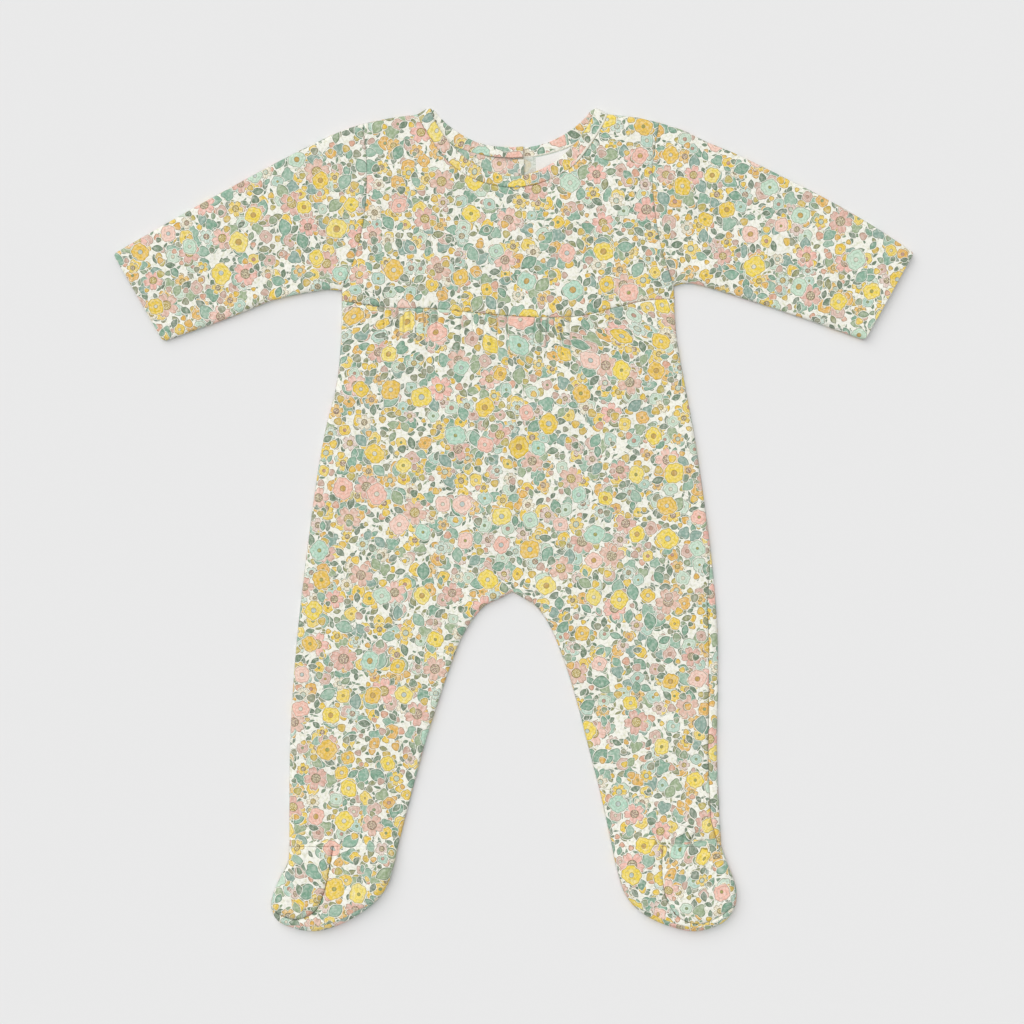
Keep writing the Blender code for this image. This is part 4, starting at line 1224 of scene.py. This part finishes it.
left_half = back_border(-1, side_left, inseam_left, armhole_left, shoulder_left)
right_half = back_border(1, side_right, inseam_right, armhole_right, shoulder_right)
sew(
    "back_left_cloth",
    [layer(left_half, -1, 3.0, shift=(-300, 90))],
    area_of(left_half) * 1.02,
    ["back_left"],
    BACK_WALL,
    lining=FACING,
)
shown = lap > 0.2
over_border = np.vstack([side_right[shown], rolled[shown][::-1]])
sew(
    "back_right_cloth",
    [
        layer(right_half, -1, 3.0, shift=(-500, -130)),
        layer(over_border, 1, 1.8, joint=-1, shift=(-500, -130), rows=(0.35, 0.9, 1.7)),
    ],
    area_of(right_half) * 1.02 + area_of(over_border),
    ["back_right"],
    BACK_WALL,
)

# %% [markdown]
# ## Sleeves
#
# A sleeve is a tube laid flat. Its two layers are cut alike and joined along both folds, and it
# stays open at the cuff. The cuff is turned in and stitched, so the cloth is a little higher
# there.

# %% Sleeves
HEM, HEM_STEP, STITCH_DIP = 9.0, 0.28, 0.42
CUFF_ROUND = 2.8


def hem_height(plan, cuff):
    """The turned hem: a low step, and a dip along its row of stitches."""
    past = nearest(plan, [cuff])[0] - HEM
    return HEM_STEP * (1 - ease(past / 0.8)) - STITCH_DIP * np.exp(-((past / 0.7) ** 2))


def sleeve(name, top, underarm, armhole, turn, shift, node):
    """Both layers of one sleeve, with the hem's step on the upper one."""
    top, underarm = curve(top), curve(underarm)
    cuff = spaced(np.array([top[-1], underarm[-1]]), 1.5)
    border = join(armhole, top, cuff, underarm[::-1])[:-1]
    for corner in (cuff[0], cuff[-1]):
        border = rounded(border, corner, CUFF_ROUND)
    front = layer(border, 1, 2.0, joint=0, turn=turn, shift=shift)
    rise = base_height(front[0][:, :2], 1, 0)[1]
    front[0][:, 2] += hem_height(front[0][:, :2], cuff) * rise**2
    back = layer(border, -1, 2.6, joint=0, turn=-turn, shift=(shift[0] + 200, shift[1]))
    sew(name, [front, back], 2 * area_of(border) * 1.02, [node])


sleeve(
    "sleeve_left_cloth", SLEEVE_TOP_LEFT, UNDERARM_LEFT, armhole_left, 0.52, (130, -210),
    "sleeve_left",
)
sleeve(
    "sleeve_right_cloth", SLEEVE_TOP_RIGHT, UNDERARM_RIGHT, armhole_right, -0.5, (620, 250),
    "sleeve_right",
)

# %% [markdown]
# ## Feet
#
# Each foot has an outer piece that puffs over the toes, a piece round the heel and the instep,
# and a sole, whose edge comes up over the lower outline as a narrow strip.

# %% Feet
FOOT_FULLER = 1.1  # a foot's cloth against its outline


def foot(sign, name, outer, inner, seam, toe_lift, sole_print):
    """The three pieces of one foot. toe_lift is how far its toes puff up."""
    seam = curve(seam, 1.0)
    around = through(outer, inner)
    share = run_of(around) / run_of(around)[-1]

    def toe_puff(plan):
        return toe_lift * ease((nearest(plan, [seam])[0] - 0.5) / 3.5)

    def side_dip(plan):
        return -0.7 * toe_lift * (1 - ease(nearest(plan, [seam])[0] / 6.0))

    meets = int(np.hypot(*(around - seam[-1]).T).argmin())
    seam[-1] = around[meets]
    start, end = SOLE_SHOWS
    strip = SOLE_STRIP * ease((share - start) / 0.08) * ease((end - share) / 0.12)
    strip[: meets + 1] = 0
    inner_line = beside(around, -sign * strip)
    ankle_top = spaced(np.array([seam[0], around[0]]), 0.8)
    ankle_side = spaced(np.array([around[-1], seam[0]]), 1.2)
    top_border = join(around[: meets + 1], seam[::-1], ankle_top)[:-1]
    side_border = join(inner_line[meets:], ankle_side, seam)[:-1]
    uppers = (("top", top_border, toe_puff, (6.0 * sign, 3.0)), ("side", side_border, side_dip, (0, 0)))
    strip_rows = strip > 0.25
    strip_border = np.vstack([around[strip_rows], inner_line[strip_rows][::-1]])
    sole_border = join(around, spaced(np.array([around[-1], around[0]]), 2.0))[:-1]
    rows = (0.35, 0.9, 1.7, 2.7, 3.9, 5.2)
    instep = [(around[:, 0].min(), -246.0, around[:, 0].max(), -219.0, 0.75)]
    for part, border, puff, drift in uppers:
        cut = layer(border, 1, 1.1, **LEG_PRINT, puff=puff, drift=drift, rows=rows, fine=instep)
        node = f"foot_{part}_{name}"
        sew(f"{node}_cloth", [cut], area_of(border) * FOOT_FULLER, [node])
    sew(
        f"sole_{name}_cloth",
        [
            layer(sole_border, -1, 2.4, **sole_print, rows=rows),
            layer(strip_border, 1, 1.4, joint=-1, **sole_print, rows=(0.35, 0.9, 1.6)),
        ],
        area_of(sole_border) * FOOT_FULLER + area_of(strip_border),
        [f"sole_{name}"],
    )


foot(
    -1, "left", FOOT_LEFT_OUTER, FOOT_LEFT_INNER, FOOT_SEAM_LEFT, 0.7,
    {"turn": 0.8, "shift": (-90, 400)},
)
foot(
    1, "right", FOOT_RIGHT_OUTER, FOOT_RIGHT_INNER, FOOT_SEAM_RIGHT, 0.4,
    {"turn": 0.5, "shift": (-390, 300)},
)

# %% [markdown]
# ## Neckband
#
# The neck is bound with a strip of the same cloth, folded over the raw edge. Seen in section it
# is a flat loop with rounded edges, so it is made as a tube: rows of points across the band, top
# and bottom, carried round the neck and down over the shoulders to the back. At the nape one end
# lies over the other.

# %% Neckband
ACROSS = np.array([0.0, 0.02, 0.06, 0.13, 0.17, 0.21, 0.35, 0.5, 0.65, 0.8, 0.9, 0.96, 1.0])
BAND_WIDE = 7.2
BAND_GIRTH = 16.0  # across its top and back along its underside
BAND_STATED, BAND_CLOTH = 0.0101, 0.0076  # metres: just over a sheet's least width, and its own
BAND_PRINT = (700, -80)  # its place on the printed cloth
EDGE_ROUND = 0.55
GROOVE_AT, GROOVE_HALF = 0.21, 0.022  # the stitched line's place and half width, as shares
# The band turns over the shoulders in a soft hump, not a point: x, y, reach, inwards, up
HUMP = ((52.4, 271.6, 2.6, 1.0, 0.45), (55.9, 274.2, 1.3, 1.0, -0.5))
OVERLAP, OVERLAP_LIFT = 7.0, 2.7
LIFT_FROM, LIFT_TO = -24.0, -10.0


def across(first, last):
    """Rows of points from one line over to another."""
    return first[:, None] + (last - first)[:, None] * ACROSS[None, :, None]


def band_skins(plan, side, lift=0.0, groove=0.0):
    """Upper and lower points of a stretch of the band. groove is how deep its stitched line is."""
    flat = plan.reshape(-1, 2)
    turn, rise, inward = rolled_over(flat, ROLL)
    middle = LAID / 2
    face = LAID if side > 0 else 0.0
    within_face = LAID - BAND if side > 0 else BAND
    from_edge = np.tile(np.minimum(ACROSS, 1 - ACROSS) * BAND_WIDE, len(plan))
    away = 1 - np.minimum(from_edge / EDGE_ROUND, 1)
    drop = EDGE_ROUND * (1 - np.sqrt(np.maximum(1 - away**2, 0)))
    stitched = np.exp(-(((ACROSS - GROOVE_AT) / GROOVE_HALF) ** 2))
    groove = np.outer(np.broadcast_to(groove, len(plan)), stitched).ravel()
    outer = middle + (face - middle) * rise - side * (drop + groove)
    inner = middle + (within_face - middle) * rise + side * drop
    inner_plan = flat + inward * (BAND * turn)[:, None]
    shape = (*plan.shape[:2], 3)
    lift = np.broadcast_to(lift, plan.shape[:2]).reshape(-1)
    top = np.column_stack([flat, outer + lift]).reshape(shape)
    return top, np.column_stack([inner_plan, inner + lift]).reshape(shape)


stations = np.linspace(0, 1, 111)
front_groove = 0.06 + 0.34 * ease((stations - 0.74) / 0.08)
front_plan = across(along(mirrored(FRONT_SEAM), stations), along(mirrored(FRONT_EDGE), stations))
stations = np.linspace(0, 1, 61)
right_plan = across(along(curve(BACK_SEAM), stations), along(curve(BACK_EDGE), stations))
right_plan = right_plan + [NECK_X, 0]
left_plan = right_plan * [-1, 1] + [2 * NECK_X, 0]
past = np.linspace(1, 0.1, 7)[:, None, None] * [OVERLAP, 0.5]
left_plan = np.concatenate([left_plan[:1] + past, left_plan])
right_plan = np.concatenate([right_plan[:1] + past * [-1, 1], right_plan])
lift = OVERLAP_LIFT * ease((left_plan[..., 0] - LIFT_FROM) / (LIFT_TO - LIFT_FROM))
parts = [
    band_skins(left_plan, -1, lift),
    band_skins(front_plan[1:-1], 1, groove=front_groove[1:-1]),
    band_skins(right_plan[::-1], -1),
]
front_from = len(left_plan)
front_to = front_from + len(front_plan) - 2
top = np.concatenate([part[0] for part in parts])
low = np.concatenate([part[1] for part in parts])
loop = np.concatenate([top, low[:, ::-1]], axis=1)
for x, y, reach, inwards, up in HUMP:
    for sign in (-1, 1):
        off = loop[..., :2] - [sign * x + NECK_X, y]
        near = np.exp(-((off**2).sum(-1) / reach**2))
        loop[..., :2] += near[..., None] * [-sign * inwards, up]
count, ring = loop.shape[:2]
faces = []
for i in range(count - 1):
    for j in range(ring):
        k = (j + 1) % ring
        faces.append([i * ring + j, i * ring + k, (i + 1) * ring + k, (i + 1) * ring + j])
faces.append(list(range(ring))[::-1])
faces.append(list(range((count - 1) * ring, count * ring)))
middle_run = run_of(loop[:, len(ACROSS) // 2, :2])
girth = np.concatenate([ACROSS * BAND_WIDE, BAND_GIRTH - ACROSS[::-1] * BAND_WIDE])
uvs = np.stack([np.repeat(middle_run, ring), np.tile(girth, count)], 1) + BAND_PRINT
neckband = body_mesh("neckband_cloth", loop.reshape(-1, 3), faces, uvs * MM)
neckband.data.materials.append(PRINT)
neckband.data.materials.append(BINDING)
neckband.data.shade_smooth()
print("neckband:", count, "rows of", ring)

# %% Neckband, its faces turned outwards, and in place
on_whole_mesh(neckband, bpy.ops.mesh.normals_make_consistent, inside=False)
shows_from = front_from + round(0.75 * (front_to - front_from))  # the binding's edge, on the right
for index, face in enumerate(neckband.data.polygons[: (count - 1) * ring]):
    row, column = divmod(index, ring)
    on_front = shows_from <= row < front_to and column < min(4, 1 + row - shows_from)
    on_back = row >= front_to and ring - 5 < column < ring - 1
    face.material_index = int(on_front or on_back)
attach(neckband, "root")
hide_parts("neckband")
CUTS.append((neckband, middle_run[-1] * MM, BAND_STATED, middle_run[-1] * BAND_CLOTH * MM))
print("neckband is", round(middle_run[-1]), "mm round")

# %% [markdown]
# ## Inside the nape
#
# Three small things lie inside the nape. The placket strip that backs the opening and the blank
# woven label beside it show through the neck, and a press stud is hidden between the band's ends.

# %% Placket and label
PLACKET_TOP, PLACKET_LONG, PLACKET_HALF = 239.5, 60.0, 7.0
PLACKET_CUT = (0.0141, 0.0601, 0.00084)  # width, length and area, in metres
LABEL_WIDE, LABEL_LONG, LABEL_THICK = 23.0, 34.0, 0.5
LABEL_CORNER = (14.9, 240.2)
LABEL_BELOW = 0.8  # how far the label stays from the back's neck seam


def strip_of_cloth(name, x, y, height, under, uv_shift, materials, node, cut, slant=None):
    """A small flat piece from a grid: rows of x and y, the height of its top, and its wall.

    slant gives how far each of its lines along y is moved up.
    """
    gx, gy = np.meshgrid(x, y)
    if slant is not None:
        gy = gy + slant
    plan = np.stack([gx.ravel(), gy.ravel()], 1)
    points = np.column_stack([plan, height(plan)])
    wide = len(x)
    faces = [
        [r * wide + c, r * wide + c + 1, (r + 1) * wide + c + 1, (r + 1) * wide + c]
        for r in range(len(y) - 1)
        for c in range(wide - 1)
    ]
    obj = body_mesh(name, points, faces, (plan + uv_shift) * MM)
    for material in materials:
        obj.data.materials.append(material)
    thicken(obj, under, inner_slot=0)
    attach(obj, "root")
    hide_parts(node)
    CUTS.append((obj, *cut))


def placket_height(plan):
    """Level with a rounded free edge on the right, and running out to nothing on the left."""
    left = ease((plan[:, 0] + PLACKET_HALF) / 8)
    right = np.minimum((PLACKET_HALF - plan[:, 0]) / 0.5, 1)
    round_edge = 0.35 * (1 - np.sqrt(np.maximum(1 - (1 - right) ** 2, 0)))
    return 1.45 + 1.15 * left - round_edge + waves(plan, BACK_WAVES)


strip_of_cloth(
    "placket_cloth",
    np.concatenate([np.linspace(-PLACKET_HALF, 6, 14), [6.5, 6.75, 6.9, PLACKET_HALF]]),
    np.linspace(PLACKET_TOP - PLACKET_LONG, PLACKET_TOP, 41),
    placket_height,
    0.5,
    np.array([-300, 90]),
    [FACING],
    "back_placket",
    PLACKET_CUT,
)
print("placket made")

# %% The label's tape and the stud's metal


def woven_tape():
    """Off-white satin tape: fine ribs across, and a faint mottle."""
    material, tree, shader = new_material("label_tape")
    where = add_node(tree, "ShaderNodeUVMap", {"uv_map": "print"})
    noise = {"Vector": where, "Scale": 900.0, "Detail": 2.0}
    mottle = add_node(tree, "ShaderNodeTexNoise", {}, noise)
    x, y, _ = where.parts()
    ribs = (y * (math.tau / 0.00045)).cos() * 0.5 + (x * (math.tau / 0.0006)).cos() * 0.25
    weave = {"Strength": 0.25, "Distance": 0.00015, "Height": ribs + mottle}
    bump = add_node(tree, "ShaderNodeBump", (), weave)
    colour = blend(dye("F2F1ED"), dye("E6E4DE"), mottle)
    looks = {"Base Color": colour, "Normal": bump, "Roughness": 0.6, "Sheen Weight": 0.15}
    plug(tree, shader, looks)
    return material


def stud_metal():
    """Brushed nickel, finely scratched."""
    material, tree, shader = new_material("stud_metal")
    where = add_node(tree, "ShaderNodeTexCoord", (), (), output="Object")
    noise = {"Vector": where, "Scale": 1500.0, "Detail": 3.0}
    scratches = add_node(tree, "ShaderNodeTexNoise", {}, noise)
    colour = blend(dye("B9B8B2"), dye("D2D1CC"), scratches)
    plug(tree, shader, {"Base Color": colour, "Roughness": scratches * 0.2 + 0.22, "Metallic": 1.0})
    return material


TAPE = woven_tape()
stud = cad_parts["press_stud"]
stud.data.materials.clear()
stud.data.materials.append(stud_metal())


def label_height(plan):
    """A loop of tape lying flat, a little raised at its free edges."""
    x = (plan[:, 0] - LABEL_CORNER[0]) / LABEL_WIDE
    curl = 0.22 * np.maximum(np.abs(x - 0.5) * 2 - 0.72, 0) / 0.28
    return 2.1 + curl + 0.06 * np.sin(plan[:, 1] * 0.4)


label_x = np.linspace(LABEL_CORNER[0], LABEL_CORNER[0] + LABEL_WIDE, 24)
back_neck = curve(BACK_SEAM) + [NECK_X, 0]
label_slant = np.interp(label_x, *back_neck.T) - LABEL_BELOW - LABEL_CORNER[1]  # beside the seam
strip_of_cloth(
    "label_tape",
    label_x,
    np.linspace(LABEL_CORNER[1] - LABEL_LONG, LABEL_CORNER[1], 35),
    label_height,
    LABEL_THICK,
    np.zeros(2),
    [TAPE],
    "label",
    (LABEL_WIDE * MM, LABEL_LONG * MM, LABEL_WIDE * LABEL_LONG * 1e-6),
    label_slant,
)
print("label made, and left blank")

# %% [markdown]
# ## The cloth's cut sizes
#
# For every piece of cloth the loop below works out the size of the cut that shows, and whether it
# lies flat or folded; nothing is kept of it. Allowances that are turned into the seams are left
# out. A sleeve is a tube, so its cut is twice as wide as it lies.

for piece, wide, long, area in CUTS:
    held = "folded" if piece == neckband else "laid"
    if piece.name.startswith("sleeve"):
        wide = wide * 2
    min(area, wide * long)
print("sheets:", len(CUTS))

# %% [markdown]
# ## Floor, light and camera
#
# The suit lies on a pale, even surface under flat, soft light: a wide light from the top left, a
# broad one from straight above, and a bright surround, so shadows stay short and pale. Both lights
# are far off, so the floor is as bright at one end as at the other. The camera looks straight down.

# %% Floor
FLOOR_WIDE, FLOOR_BELOW = 60.0, 0.0001
bpy.ops.object.select_all(action="DESELECT")
bpy.ops.mesh.primitive_plane_add(size=FLOOR_WIDE, location=(0, 0, -FLOOR_BELOW))
floor = bpy.context.object
floor.name = "floor"
floor_paint, paint_tree, paint_shader = new_material("floor_paint")
paint = {"Base Color": dye("E9E9E9"), "Roughness": 0.95, "Specular IOR Level": 0.0}
plug(paint_tree, paint_shader, paint)
floor.data.materials.append(floor_paint)
print("floor", FLOOR_WIDE, "m wide")

# %% Lights
SURROUND = 0.35
falls = []


def soft_light(name, from_way, wide, share):
    """A far, wide light. share is what it adds to the floor, where 1 gives the paint's own grey."""
    from_way = Vector(from_way).normalized()
    bpy.ops.object.light_add(type="SUN", location=from_way * 2)
    light = bpy.context.object
    light.name = name
    light.data.angle = math.radians(wide)
    light.data.energy = share * math.pi / from_way.z
    light.rotation_euler = from_way.to_track_quat("Z", "Y").to_euler()
    falls.append(share)


soft_light("key", (-0.40, 0.49, 0.70), 60, 0.37)
soft_light("top", (0.0, 0.0, 1.0), 40, 0.285)
world = bpy.data.worlds.new("surround")
world.use_nodes = True
world.node_tree.nodes["Background"].inputs["Color"].default_value = (1, 1, 1, 1)
world.node_tree.nodes["Background"].inputs["Strength"].default_value = SURROUND
bpy.context.scene.world = world
print("light on the floor:", round(SURROUND + sum(falls), 2), "times what makes it its own colour")

# %% Camera
VIEW_WIDE, VIEW_CENTRE = 0.681, (-0.001, 0.0047)
LENS, SENSOR = 85.0, 36.0
height = VIEW_WIDE * LENS / SENSOR
bpy.ops.object.camera_add(location=(*VIEW_CENTRE, height + LAID * MM), rotation=(0, 0, 0))
camera = bpy.context.object
camera.data.lens = LENS
camera.data.sensor_width = SENSOR
camera.data.clip_start = 0.05
bpy.context.scene.camera = camera
bpy.context.scene.view_settings.view_transform = "Standard"
print("camera", round(height, 3), "m above the floor")
